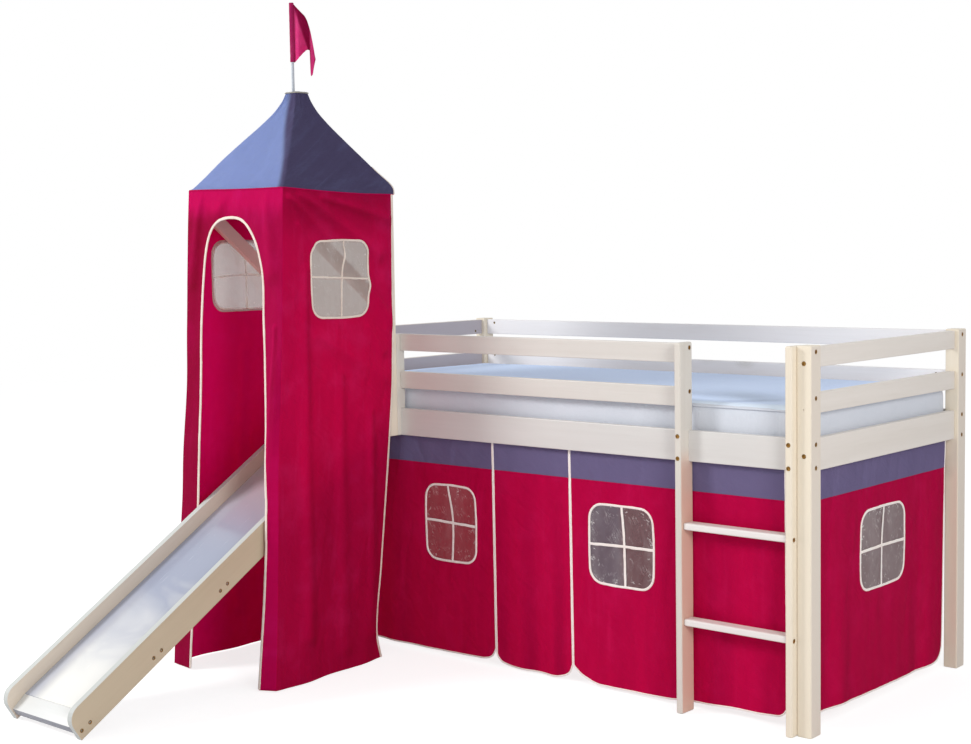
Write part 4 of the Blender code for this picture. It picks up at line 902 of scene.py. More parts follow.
# Long folds by wall: (from y or x, from depth, to, to depth, how proud, how wide), depth below the eaves.
FOLDS = {
    "right": (
        (-0.505, 0.03, -0.25, 0.24, 0.0060, 0.017), (-0.455, 0.02, -0.11, 0.22, 0.0050, 0.020),
        (-0.205, 0.27, -0.050, 0.45, 0.0055, 0.018), (-0.40, 0.48, -0.10, 0.64, 0.0030, 0.026),
        (-0.445, 0.27, -0.500, 1.45, 0.0040, 0.022), (-0.300, 0.62, -0.330, 1.52, 0.0034, 0.026),
        (-0.47, 0.12, -0.40, 0.20, 0.0030, 0.012), (-0.165, 0.46, -0.10, 0.55, 0.0030, 0.013),
        (-0.36, 0.03, -0.06, 0.10, 0.0030, 0.015), (-0.17, 0.75, -0.19, 1.50, 0.0030, 0.022),
    ),
    "front": (
        (-1.668, 0.01, -1.628, 0.27, 0.0045, 0.026), (-1.995, 0.02, -2.035, 0.30, 0.0035, 0.020),
        (-1.86, 0.01, -1.90, 0.07, 0.0030, 0.022), (-1.615, 0.45, -1.612, 1.45, 0.0025, 0.014),
    ),
    "left": (
        (-0.40, 0.03, -0.15, 0.40, 0.0045, 0.022), (-0.30, 0.55, -0.36, 1.45, 0.0040, 0.026),
        (-0.15, 0.60, -0.16, 1.45, 0.0040, 0.026),
    ),
}


def at_drop(values, drop):
    """Read a table of the walls' shape, which has a value for each of DROPS."""
    return smooth(tuple(zip(DROPS, values)), drop)


def droop(spot):
    """The eaves sink toward the rear, and rise a little at the front left."""
    rise = 0.006 * math.exp(-(((spot.x - LEFT) / 0.20) ** 2 + ((spot.y - TOWER_FRONT) / 0.20) ** 2))
    return 0.016 * smooth(EAVE_SAG, (spot.y - TOWER_FRONT) / (UPRIGHT_BACK - TOWER_FRONT)) - rise


def wall_keys(drop):
    """The corners of the walls' plan at a drop: rear left, round the front, rear right."""
    front = TOWER_FRONT - EAVE_OUT - at_drop(FRONT_FLARE, drop)
    wide_left = at_drop(LEFT_FLARE, drop)
    wide_right = at_drop(RIGHT_FLARE, drop)
    back = UPRIGHT_BACK - 0.010 - at_drop(REAR_PULL, drop)
    turn = at_drop(FLAP_TURN, drop)
    return [Vector(p) for p in (
        (LEFT - EAVE_OUT - wide_left / 5, back), (LEFT - EAVE_OUT - wide_left, front + turn / 2),
        (LEFT + TOWER_WIDTH / 4, front), (TOWER_RIGHT - TOWER_WIDTH / 4, front),
        (TOWER_RIGHT - TOWER_WIDTH / 40, front - turn), (TOWER_RIGHT + EAVE_OUT + wide_right, front),
        (TOWER_RIGHT + EAVE_OUT + wide_right / 5, back),
    )]


def crest(u, depth, fold):
    """How far a long fold stands out at a place: a smooth ridge round a line."""
    u0, d0, u1, d1, proud, wide = fold
    run = Vector((u1 - u0, d1 - d0))
    here = Vector((u - u0, depth - d0))
    t = min(1.0, max(0.0, here.dot(run) / run.length_squared))
    off = (here - run * t).length / (wide * (0.7 + 0.6 * t))
    return proud * math.exp(-off * off) if off < 3 else 0.0


def rumple(wall, u, z):
    """How far the cloth stands out of its smooth form, in metres: long soft folds and small creases."""
    depth = EAVE - z
    drop = depth / EAVE
    hold = fade(0.0, 0.03, drop)
    seed = {"left": 2.2, "front": 6.4, "right": 4.7}[wall]
    soft = wave(u / 0.085, depth / 0.7, seed)
    small = wave(u / 0.028 + z * 4, z / 0.05, seed + 3)
    tuck = wave(u / 0.020, z / 0.16, 8.1) * (1 - fade(0.0, 0.10, drop))
    ridges = sum(crest(u, depth, fold) for fold in FOLDS[wall])
    return hold * (0.0030 * max(-0.5, soft) + 0.0015 + 0.0005 * small + 1.7 * ridges) + 0.0008 * abs(tuck)


def on_run(number, keys, drop, share=None, u=None):
    """A point on one straight run of the plan, by its share or by its x or y, and the way out there."""
    a, b = keys[number], keys[number + 1]
    run = (b - a).normalized()
    out = Vector((run.y, -run.x))
    begin = a if number == 0 else a + run * CORNER
    end = b if number == len(SPANS) - 1 else b - run * CORNER
    wall = "left" if number == 0 else "right" if number == len(SPANS) - 1 else "front"
    axis = 0 if wall == "front" else 1
    if share is None:
        share = min(1.0, max(0.0, (u - begin[axis]) / (end[axis] - begin[axis])))
    spot = begin.lerp(end, share)
    z = EAVE - drop * (EAVE - WALL_HEM)
    from_front = share if number else 1 - share
    fold = rumple(wall, spot[axis], z) * (fade(0.0, 0.03, from_front) if wall != "front" else 1)
    if wall == "front":
        from_right, from_left = TOWER_RIGHT - spot.x, spot.x - LEFT
        fold *= fade(-0.03, 0.02, from_right) * fade(-0.02, 0.02, from_left)
    else:
        fold = fold * fade(0.0, 0.03, 1 - from_front)
        fold += at_drop(FOLD_GROWTH, drop) * smooth(WALL_FOLD, 1 - from_front)
    return spot + out * fold, out


def wall_line(drop):
    """The outer plan line at a drop, as (point, way out)."""
    keys = wall_keys(drop)
    points = []
    for number, span in enumerate(SPANS):
        points += [on_run(number, keys, drop, share=step / span) for step in range(span + 1)]
        if number < len(SPANS) - 1:
            b = keys[number + 1]
            before = (b - keys[number]).normalized()
            after = (keys[number + 2] - b).normalized()
            first, last = points[-1][0], on_run(number + 1, keys, drop, share=0.0)[0]
            middle = b + (first + last - (b - before * CORNER) - (b + after * CORNER)) / 2
            for t in (0.25, 0.5, 0.75):
                spot = first.lerp(middle, t).lerp(middle.lerp(last, t), t)
                points.append((spot, Vector((before.y + after.y, -before.x - after.x)).normalized()))
    return points


WALL_DROPS = spread(0.0, 0.06, 0.004) + spread(0.06, 1.0, 0.0058)[1:]
wall_lines = {drop: wall_line(drop) for drop in WALL_DROPS}
wall_marks = [0.0]
for (a, _), (b, _) in zip(wall_lines[WALL_DROPS[0]], wall_lines[WALL_DROPS[0]][1:]):
    wall_marks.append(wall_marks[-1] + (b - a).length)


def wall_point(column, drop):
    spot = wall_lines[drop][column][0]
    top = EAVE - GAP - (droop(spot) + GAP) * (1 - fade(0.0, 0.03, drop))
    return Vector((spot.x, spot.y, top - drop * (EAVE - GAP - WALL_HEM)))


walls = drape(
    "tower_cloth_walls", list(range(len(wall_marks))), WALL_DROPS, wall_point, (0, -1, 0),
    flat=lambda column, drop: (wall_marks[column], -drop * EAVE),
)
print("wall sheet:", len(walls.data.polygons), "faces")

# %% [markdown]
# A binding, a seam or a window has to lie on the draped cloth, so its flat shape is read off the
# same plan lines: give a wall, a place along it and a height, and get the point.


# %% Find a point on a wall
def on_wall(wall, u, z, inward):
    """The point on a wall at x (front) or y (sides) and a height, this far in from its outer face."""
    drop = min(1.0, max(0.0, (EAVE - GAP - z) / (EAVE - GAP - WALL_HEM)))
    keys = wall_keys(drop)
    number = WALL_RUNS[wall][0]
    for candidate in WALL_RUNS[wall]:
        if wall != "front" or u >= keys[candidate].x:
            number = candidate
    spot, out = on_run(number, keys, drop, u=u)
    for corner in (2, 3, 4) if wall == "front" else ():
        if abs(u - keys[corner].x) < CORNER:  # between two runs the cloth cuts the corner
            before = on_run(corner - 1, keys, drop, share=1.0)[0]
            after = on_run(corner, keys, drop, share=0.0)[0]
            spot = before.lerp(after, min(1.0, max(0.0, (u - before.x) / max(after.x - before.x, 1e-6))))
    spot = spot - out * inward
    return Vector((spot.x, spot.y, z))


# %% [markdown]
# The arch is a tall keyhole for the slide. Its right leg ends at the corner, so the strip of
# cloth beside it is only a narrow flap. The marks come from the photograph as shares of the
# tower's width and of the arch's height, joined by a smooth curve.

# %% Cut the arch
ARCH_TOP = EAVE - 0.090
ARCH = (
    (0.170, 0.0), (0.175, 0.2), (0.165, 0.46), (0.145, 0.62), (0.143, 0.77), (0.171, 0.89), (0.203, 0.945),
    (0.246, 0.972), (0.30, 0.988), (0.37, 0.997), (0.45, 1.0), (0.55, 0.997), (0.61, 0.988), (0.662, 0.973),
    (0.722, 0.947), (0.767, 0.915), (0.807, 0.87), (0.820, 0.77), (0.870, 0.625), (0.926, 0.48),
    (0.972, 0.39), (0.99, 0.2), (0.988, 0.0),
)


def curve_through(points, steps=6):
    """A smooth line through the points."""
    line = []
    for i in range(len(points) - 1):
        p = [Vector(points[min(max(k, 0), len(points) - 1)]) for k in (i - 1, i, i + 1, i + 2)]
        chord = (p[2] - p[1]).length
        lean_in = (p[2] - p[0]).normalized() * chord
        lean_out = (p[3] - p[1]).normalized() * chord
        for step in range(steps):
            t = step / steps
            line.append(
                p[1] * (1 + 2 * t) * (1 - t) ** 2 + lean_in * t * (1 - t) ** 2
                + p[2] * t * t * (3 - 2 * t) + lean_out * t * t * (t - 1)
            )
    line.append(Vector(points[-1]))
    return line


arch_line = curve_through([(LEFT + a * TOWER_WIDTH, h * ARCH_TOP) for a, h in ARCH])
arch_cut = [(arch_line[0].x, -0.03)] + [tuple(p) for p in arch_line[1:-1]] + [(arch_line[-1].x, -0.03)]
cut(walls, prism("arch_cutter", arch_cut, TOWER_FRONT - 0.20, TOWER_FRONT + 0.05, "Y"))

# %% [markdown]
# Each side wall has a window of clear film with a cross of tape sewn over it. The opening's
# edge is bound all round, and the film is sewn behind it.

# %% Windows
WINDOW_CORNER = 0.042
LAP = 0.009  # how far the film reaches past the opening
FILM_THICK, FILM_BEHIND = 0.0005, 0.0020  # the film, and how far behind the cloth's face it lies
RIM_THICK = 0.0046
TAPE_PROUD = 0.0009  # how far the cross of tape stands out of the cloth's face
UPRIGHT_UNDER = 0.0006  # how far its upright lies under its crosspiece
MIDDLE = COTTON / 2


def sewn_outline(half_u, half_w, mid_u, mid_w):
    """A window's outline as sewn: a rounded rectangle whose sides swell, and that wavers a little."""
    outline = []
    for p in evened([(*q, 0.0) for q in ring(half_u, half_w, WINDOW_CORNER)], 0.006, True):
        u, w = p.x / half_u, p.y / half_w
        waver = 0.0016 * wave(u * 1.6 + mid_u * 9, w * 1.6, 4.1)
        wider, taller = 0.97 + 0.045 * (1 - w * w), 0.975 + 0.035 * (1 - u * u)
        outline.append((mid_u + p.x * wider + waver, mid_w + p.y * taller + waver))
    return outline


def rim_share(u, w, half_u, half_w):
    """1 at a window's edge, 0 in its middle."""
    return max(fade(0.55, 1.0, abs(u) / half_u), fade(0.55, 1.0, abs(w) / half_w))


def pane(name, middle, half, face, toward, looks, body, stands_for, bends):
    """The film behind an opening, its bound rim and a cross of tape, all laid on the cloth."""
    (mid_u, mid_w), (half_u, half_w) = middle, half
    film_material, rim_wide, tape_wide, tape_thick = looks
    wide, high = half_u + LAP, half_w + LAP

    def sag(u, w):
        inside = 1 - rim_share(u - mid_u, w - mid_w, half_u, half_w)
        return abs(0.0022 * wave(u / 0.06, w / 0.05, 5.5)) * inside

    sheet = drape(
        name, spread(mid_u - wide, mid_u + wide, 0.008), spread(mid_w - high, mid_w + high, 0.008),
        lambda u, w: face(u, w, FILM_BEHIND + sag(u, w)), toward, FILM_THICK,
    )
    outline = ring(wide, high, WINDOW_CORNER + LAP, mid_u, mid_w)
    spot = face(mid_u, mid_w, 0.0)
    axis = "Y" if abs(toward[1]) > 0.5 else "X"
    depth = spot.y if axis == "Y" else spot.x
    cut(sheet, prism(name + "_shape", outline, depth - 0.06, depth + 0.06, axis), "INTERSECT")

    def from_middle(vert):
        return (vert.co.x if axis == "Y" else vert.co.y) - mid_u

    mark_points(sheet, "rim", lambda vert: rim_share(from_middle(vert), vert.co.z - mid_w, half_u, half_w))
    mark_points(sheet, "across", lambda vert: from_middle(vert) / half_u / 2 + 0.5)
    soften(sheet)
    finish_piece(sheet, body, [film_material], stands_for)
    edge = [face(u, w, MIDDLE) for u, w in sewn_outline(half_u, half_w, mid_u, mid_w)]
    made = [binding(name + "_rim", edge, lambda p: toward, rim_wide, RIM_THICK, True)]
    for word, bend in zip(("upright", "cross"), bends):
        bar = []
        reach = half_w if word == "upright" else half_u
        table = ((-1.0, bend[0]), (0.0, bend[1]), (1.0, bend[2]))
        for t in spread(-reach, reach, 0.006):
            sway = smooth(table, t / reach) + 0.0010 * wave(t / 0.03, mid_u, len(word))
            u, w = (mid_u + sway, mid_w + t) if word == "upright" else (mid_u + t, mid_w + sway)
            under = 0.0 if word == "cross" else UPRIGHT_UNDER
            bar.append(face(u, w, under + tape_thick / 2 - TAPE_PROUD))
        made.append(binding(name + "_tape_" + word, bar, lambda p: toward, tape_wide, tape_thick))
    for piece in made:
        finish_piece(piece, body, [WINDOW_TAPES.get(film_material, CURTAIN_TAPE)])
    return [sheet] + made


# %% Tower windows
WINDOW_TOP = EAVE - 0.169
TOWER_WINDOWS = {  # each one's middle, half its size, how its two tapes bend, and its film
    "left": (
        (BED_FRONT - 0.260, WINDOW_TOP - 0.117), (0.139, 0.1155),
        ((0.004, 0.003, 0.0), (-0.004, 0.003, -0.004)), FAR_FILM,
    ),
    "right": (
        (BED_FRONT - 0.261, WINDOW_TOP - 0.129), (0.1276, 0.1262),
        ((0.003, 0.010, 0.021), (0.010, 0.004, -0.002)), TOWER_FILM,
    ),
}
wall_trims = []
for side, (middle, half, bends, film_material) in TOWER_WINDOWS.items():
    plane = LEFT if side == "left" else TOWER_RIGHT
    cut(walls, prism("window_cutter", sewn_outline(*half, *middle), plane - 0.03, plane + 0.03, "X"))
    wall_trims += pane(
        "film_tower_" + side, middle, half,
        lambda u, w, depth, side=side: on_wall(side, u, w, depth), side_out(side),
        (film_material, 0.0080, 0.0072, 0.0070), "bed", ("window_tower_" + side,), bends,
    )
print("tower windows:", len(wall_trims), "pieces")

# %% [markdown]
# The arch and the two rear edges are bound too. The cloth's colour carries painted shade: each point of
# the cloth is given a number for how much painted shade it gets, which the cotton's finish reads.

# %% Bind the walls
arch_edge = evened([(p.x, p.y, 0.0) for p in arch_line], 0.007)[1:-1]
arch_points = [on_wall("front", p.x, p.y, MIDDLE) for p in arch_edge]
wall_trims.append(binding("arch_binding", arch_points, lambda p: (0, -1, 0.1), wide=0.0100, thick=0.0050))
for side, column in (("left", 0), ("right", len(wall_marks) - 1)):
    edge = []
    for drop in WALL_DROPS:
        spot, out = wall_lines[drop][column]
        edge.append(Vector((*(spot - out * MIDDLE), wall_point(column, drop).z)))
    line = evened(edge, 0.008)
    wall_trims.append(binding("wall_edge_" + side, line, lambda p: side_out(side), wide=0.0105, thick=0.0050))
for piece in wall_trims[-3:]:
    finish_piece(piece, "bed", [CREAM_TAPE])


def wall_painted_shade(wall, u, z):
    """Painted shade at a place: darker where a fold leans from the light, none just under the front's eaves
    and less on its right part, more under the side walls' eaves and at their foot.
    """
    near = 0.004
    across = rumple(wall, u + near, z) - rumple(wall, u - near, z)
    upward = rumple(wall, u, z + near) - rumple(wall, u, z - near)
    slope = (0.8 * upward - 0.6 * across) / (2 * near)
    depth = EAVE - z
    if wall == "front":
        from_left = (u - LEFT) / TOWER_WIDTH
        lighter = 0.34 * fade(0.2, 0.5, from_left) * (1 + fade(0.6, 1.0, depth))
        base = fade(0.035, 0.11, depth) * (0.76 - lighter)
    else:
        base = 0.36 - 0.31 * fade(0.06, 0.20, depth) + 0.27 * fade(0.70, 1.15, depth)
    return min(1.0, max(0.0, base + 0.9 * slope))


middle_x = (LEFT + TOWER_RIGHT) / 2


def wall_shade_of_point(vert):
    if abs(vert.normal.y) > 0.7:
        return wall_painted_shade("front", vert.co.x, vert.co.z)
    return wall_painted_shade("left" if vert.co.x < middle_x else "right", vert.co.y, vert.co.z)


# painted shade for the walls: a number at each point that darkens the crimson
mark_points(walls, "kept_dye", wall_shade_of_point)
soften(walls)
finish_piece(walls, "bed", [WALL_COTTON, FLAP_COTTON, INSIDE_LIT_COTTON], ("tower_walls",))
# Faces that look to the front take the front copy of the crimson, and the left wall's inner faces take the
# brighter copy, which is painted light.
for poly in walls.data.polygons:
    inside = poly.normal.x > 0.7 and poly.center.x < middle_x
    poly.material_index = 2 if inside else int(poly.normal.y < -0.7)

# %% [markdown]
# ## The tower's roof
# Four cloth panels rise from the eaves to a small square rim round the flag pole. They sag
# between the hips like a tent. The rings of a pyramid are drawn from the same tables as the
# CAD solid, and wrinkles run up them toward the peak, where the cloth is gathered.

# %% Roof
ROOF_IN = (0.0, 0.0, 0.04, 0.15, 0.33, 0.52, 0.68, 0.79, 0.85, 0.885)
ROOF_UP = (0.0, 0.010, 0.032, 0.13, 0.31, 0.50, 0.67, 0.81, 0.92, 1.0)
ROOF_SAG = (0.0, 0.0, 0.0, 0.5, 1.0, 1.0, 0.8, 0.5, 0.2, 0.0)
ROOF_SHARES = spread(0.0, 0.08, 0.01) + spread(0.08, 0.92, 0.03)[1:] + spread(0.92, 1.0, 0.01)[1:-1]
ROOF_STEPS = len(ROOF_SHARES)
RIM_HALF = 0.027
HIP_SWELL = (0.020, 0.004, 0.010, 0.010)  # how far each hip stands out, from the front left round
TIP = PEAK + Vector((0.008, 0.008, 0.0))


def corners_of(low, high, out_by):
    """The four corners of a level rectangle, made larger all round, in turn from the front left."""
    low = low - Vector((out_by, out_by))
    high = high + Vector((out_by, out_by))
    return [Vector(p) for p in ((low.x, low.y), (high.x, low.y), (high.x, high.y), (low.x, high.y))]


eave_corners = corners_of(Vector((LEFT, TOWER_FRONT)), Vector((TOWER_RIGHT, UPRIGHT_BACK)), EAVE_OUT)
rim_corners = corners_of(TIP.xy, TIP.xy, RIM_HALF)
roof_levels = spread(0.0, 2.0, 0.35) + spread(2.0, 9.0, 0.14)[1:]


def in_tables(values, level):
    """Read a table of the roof's shape at a level, which may lie between two rows."""
    return smooth(tuple(enumerate(values)), level)


def roof_point(column, level):
    """A point of the roof: column goes once round, and level goes up through the tables."""
    inward = in_tables(ROOF_IN, level) / ROOF_IN[-1]
    side, step = divmod(column % (4 * ROOF_STEPS), ROOF_STEPS)
    share = ROOF_SHARES[step]
    swell = math.sin(math.pi * min(1.0, inward * 1.05)) ** 0.8
    ends = []
    for k in (side % 4, (side + 1) % 4):
        away = (eave_corners[k] - rim_corners[k]).normalized()
        ends.append(eave_corners[k].lerp(rim_corners[k], inward) + away * HIP_SWELL[k] * swell)
    run = (ends[1] - ends[0]).normalized()
    inside = Vector((-run.y, run.x))
    long = (ends[1] - ends[0]).length
    along = share * long
    radius = min(0.0035 + 0.014 * fade(1.5, 3.5, level) * (1 - 0.6 * fade(6.0, 9.0, level)), long * 0.3)
    spot = ends[0] + run * along
    near = min(along, long - along)
    if near < radius:
        # A soft hip: a curve from one side to the next, of which this side holds one half.
        corner, way = (ends[0], run) if along < long - along else (ends[1], -run)
        t = 0.5 + 0.5 * near / radius
        begin, end = corner + inside * radius, corner + way * radius
        spot = begin * (1 - t) ** 2 + corner * 2 * t * (1 - t) + end * t * t
    hip = min(share, 1 - share)
    sag = 0.010 * 4 * share * (1 - share) * in_tables(ROOF_SAG, level)
    off_hip = fade(0.0, 0.1, hip)
    pull = 0.0030 * wave(share * 9 + side * 7.3, level * 0.35, 1.7) * fade(0.0, 0.12, hip)
    pull *= fade(1.0, 3.0, level)
    gather = 0.0042 * wave(share * 11 + side * 3.1, level * 0.22, 6.2) * fade(5.0, 8.0, level) * off_hip
    crease = 0.0016 * wave(share * 6 + side, level * 2.4, 3.3) * fade(0.5, 2.5, level) * off_hip
    z = EAVE + in_tables(ROOF_UP, level) * (PEAK.z - EAVE)
    rear = (spot - eave_corners[2]).length
    rays = math.sin((z - EAVE) / 0.0050 + rear * 9) * math.exp(-((rear / 0.10) ** 2))
    rays = 0.0016 * rays * fade(1.0, 2.5, level) * fade(0.0, 0.05, hip)
    seam = 0.0
    if side == 1 and along > radius:
        seam = 0.0018 * (1 - fade(0.7, 1.0, along / (0.030 - 0.014 * inward))) * fade(1.0, 3.0, level)
    spot = spot + inside * (sag - pull - gather - crease - rays - seam)
    z -= droop(spot) * (1 - fade(0.0, 2.2, level))
    z += 0.011 * math.exp(-((rear / 0.085) ** 2)) * fade(0.6, 2.6, level)
    return Vector((spot.x, spot.y, z))


roof_marks = [0.0]
for column in range(4 * ROOF_STEPS):
    roof_marks.append(roof_marks[-1] + (roof_point(column + 1, 0) - roof_point(column, 0)).length)
roof = drape(
    "tower_cloth_roof", list(range(4 * ROOF_STEPS + 1)), roof_levels, roof_point, (0, 0, 1), 0,
    flat=lambda column, level: (roof_marks[column] * (1 - 0.85 * in_tables(ROOF_IN, level)), level * 0.045),
)
mend(roof, MERGE, outward=False)
away = sum((p.center.xy - PEAK.xy).dot(p.normal.xy) * p.area for p in roof.data.polygons)
if away < 0:
    roof.data.flip_normals()
soften(thicken(roof, COTTON), 50)
finish_piece(roof, "bed", [ROOF_COTTON], ("tower_roof",))


def hip_distance(spot, corner):
    """How far a point is in plan from the hip that rises from one eave corner."""
    run = (rim_corners[corner] - eave_corners[corner]).normalized()
    off = spot.xy - eave_corners[corner]
    return run.x * off.y - run.y * off.x


def roof_painted_shade(vert):
    """Painted shade: the panels turned from the light are darker, and the darkening runs a little onto the
    front panel at its right hip, most so near the peak.
    """
    height = (vert.co.z - EAVE) / (PEAK.z - EAVE)
    seam = 0.010 + 0.016 * fade(0.2, 0.7, height) - 0.008 * fade(0.75, 1.0, height)
    if hip_distance(vert.co, 2) > 0:
        return fade(-0.017, 0.004, seam - hip_distance(vert.co, 1))
    return float(hip_distance(vert.co, 3) > 0)


# painted shade for the roof's blue cloth
mark_points(roof, "kept_dye", roof_painted_shade)
print("roof:", len(roof.data.polygons), "faces")

# %% [markdown]
# The rim at the top is bound in grey-cream tape, its little lid of cloth closes round the pole,
# and the hips at the rear carry a binding that runs on down the walls' rear edges. A thin seam
# joins the roof to the walls along the other three eaves.

# %% Roof trims
rim_line = [roof_point(c, 9.0) - Vector((0, 0, 0.003)) for c in range(4 * ROOF_STEPS)]


def out_from_tip(point):
    return (point.x - TIP.x, point.y - TIP.y, 0.25)


roof_trims = [binding("roof_rim", evened(rim_line, 0.006, True), out_from_tip, 0.0125, 0.0050, closed=True)]
lid_rings = spread(0.0, 1.0, 0.12)


def lid_point(column, ring_share):
    edge = rim_line[column % (4 * ROOF_STEPS)]
    out = (edge.xy - PEAK.xy).normalized()
    spot = edge.xy.lerp(PEAK.xy + out * 0.0068, ring_share)
    dip = 0.0030 * math.sin(math.pi * ring_share) + 0.0008 * wave(column * 0.4, ring_share * 3, 0.0)
    return Vector((spot.x, spot.y, PEAK.z - 0.0012 - abs(dip)))


lid = drape("roof_lid", list(range(4 * ROOF_STEPS + 1)), lid_rings, lid_point, (0, 0, 1), 0.0012)
soften(lid)
finish_piece(lid, "bed", [ROOF_COTTON])
for side, corner in (("right", 2), ("left", 3)):
    hip_line = [roof_point(corner * ROOF_STEPS, level) for level in roof_levels if level < 3.6]
    roof_trims.append(binding("roof_hip_" + side, evened(hip_line, 0.007), out_from_tip, 0.0075, 0.0044))
for number, piece in enumerate(roof_trims):
    finish_piece(piece, "bed", [CREAM_TAPE if number else GREY_TAPE])
eave_columns = [*range(3 * ROOF_STEPS + 1, 4 * ROOF_STEPS), *range(2 * ROOF_STEPS)]  # left, front and right
eave_line = [roof_point(column, 0.0) for column in eave_columns]
eave_seam = binding("eave_seam", evened(eave_line, 0.008), out_from_tip, 0.0034, 0.0030)
finish_piece(eave_seam, "bed", [FLAP_COTTON])
roof_trims.append(eave_seam)
roof_trims.append(lid)

# %% [markdown]
# ## Curtains
# Four panels hang from tape behind the side and end rails: at the front a narrow door between two
# with a window, and at the end of the bed one more with a window. Each has a violet band sewn over
# its top, shallow upright folds, rounded lower corners, and binding down its sides and along its
# hem.

# %% Curtain tables
CURTAIN_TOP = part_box("curtain_door")[1].z
CURTAIN_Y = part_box("curtain_door")[0].y
CURTAIN_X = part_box("curtain_end")[1].x
BAND_LOW = SIDE_LOW - 0.092
BAND_PROUD = 0.0004  # how far the violet band stands over the panel
HEM = 0.009
HEM_RISE = 0.050
FOLD = 0.012
BENT = 0.075  # a length under a panel's top, put in the tuple passed with it, which nothing uses
# Of each panel: how deep its folds are and how high its hem is, both by the share of its width, its
# window's middle (share of the width, depth under the rail) and size, its film, how the window's two
# tapes bend, and how far the cloth reaches past its solid at each side. The solids keep apart to
# swing, and the cloth nearly meets its neighbour.
PANELS = {
    "curtain_front_left": {
        "folds": (
            (0.0, 0.1), (0.10, 0.9), (0.20, 0.2), (0.31, 1.0), (0.42, 0.3), (0.52, 0.7), (0.60, 0.45),
            (0.96, 0.45), (1.0, 0.2),
        ),
        "hem": ((0.0, 0.2), (0.5, 0.1), (0.92, 0.2), (0.955, 0.3), (0.98, 0.55), (1.0, 1.1)),
        "reach": (0.0, 0.0085),
        "window": ((0.768, 0.2935), (0.228, 0.259), LEFT_FILM, ((0.005, 0.011, -0.010), (0.006, 0.003, 0.0))),
    },
    "curtain_door": {
        "folds": ((0.0, 0.2), (0.16, 0.8), (0.34, 0.25), (0.55, 1.0), (0.75, 0.4), (0.90, 0.9), (1.0, 0.5)),
        "hem": (
            (0.0, 0.75), (0.03, 0.42), (0.08, 0.16), (0.2, 0.02), (0.76, 0.0), (0.87, 0.13), (0.95, 0.45),
            (1.0, 1.1),
        ),
        "reach": (0.0025, 0.0020),
    },
    "curtain_front_right": {
        "folds": (
            (0.0, 0.5), (0.06, 0.4), (0.47, 0.4), (0.56, 0.8), (0.66, 0.2), (0.77, 0.9), (0.88, 0.3),
            (1.0, 0.6),
        ),
        "hem": (
            (0.0, 1.0), (0.05, 0.45), (0.145, 0.06), (0.44, 0.1), (0.61, 0.28), (0.96, 0.45), (0.985, 0.65),
            (1.0, 1.0),
        ),
        "reach": (0.0020, 0.0),
        "window": (
            (0.2504, 0.2913), (0.2454, 0.2526), RIGHT_FILM, ((0.014, 0.013, 0.004), (-0.003, 0.001, 0.002)),
        ),
    },
    "curtain_end": {
        "folds": (
            (0.0, 0.3), (0.09, 0.9), (0.19, 0.2), (0.27, 0.5), (0.68, 0.5), (0.78, 0.9), (0.89, 0.2),
            (1.0, 0.7),
        ),
        "hem": (
            (0.0, 0.83), (0.02, 0.66), (0.5, 0.46), (0.90, 0.42), (0.95, 0.52), (0.98, 0.82), (1.0, 1.35),
        ),
        "reach": (0.0, 0.0),
        "window": ((0.493, 0.284), (0.2807, 0.2435), END_FILM, ((-0.007, -0.007, 0.004), (0.0, 0.002, 0.0))),
    },
}


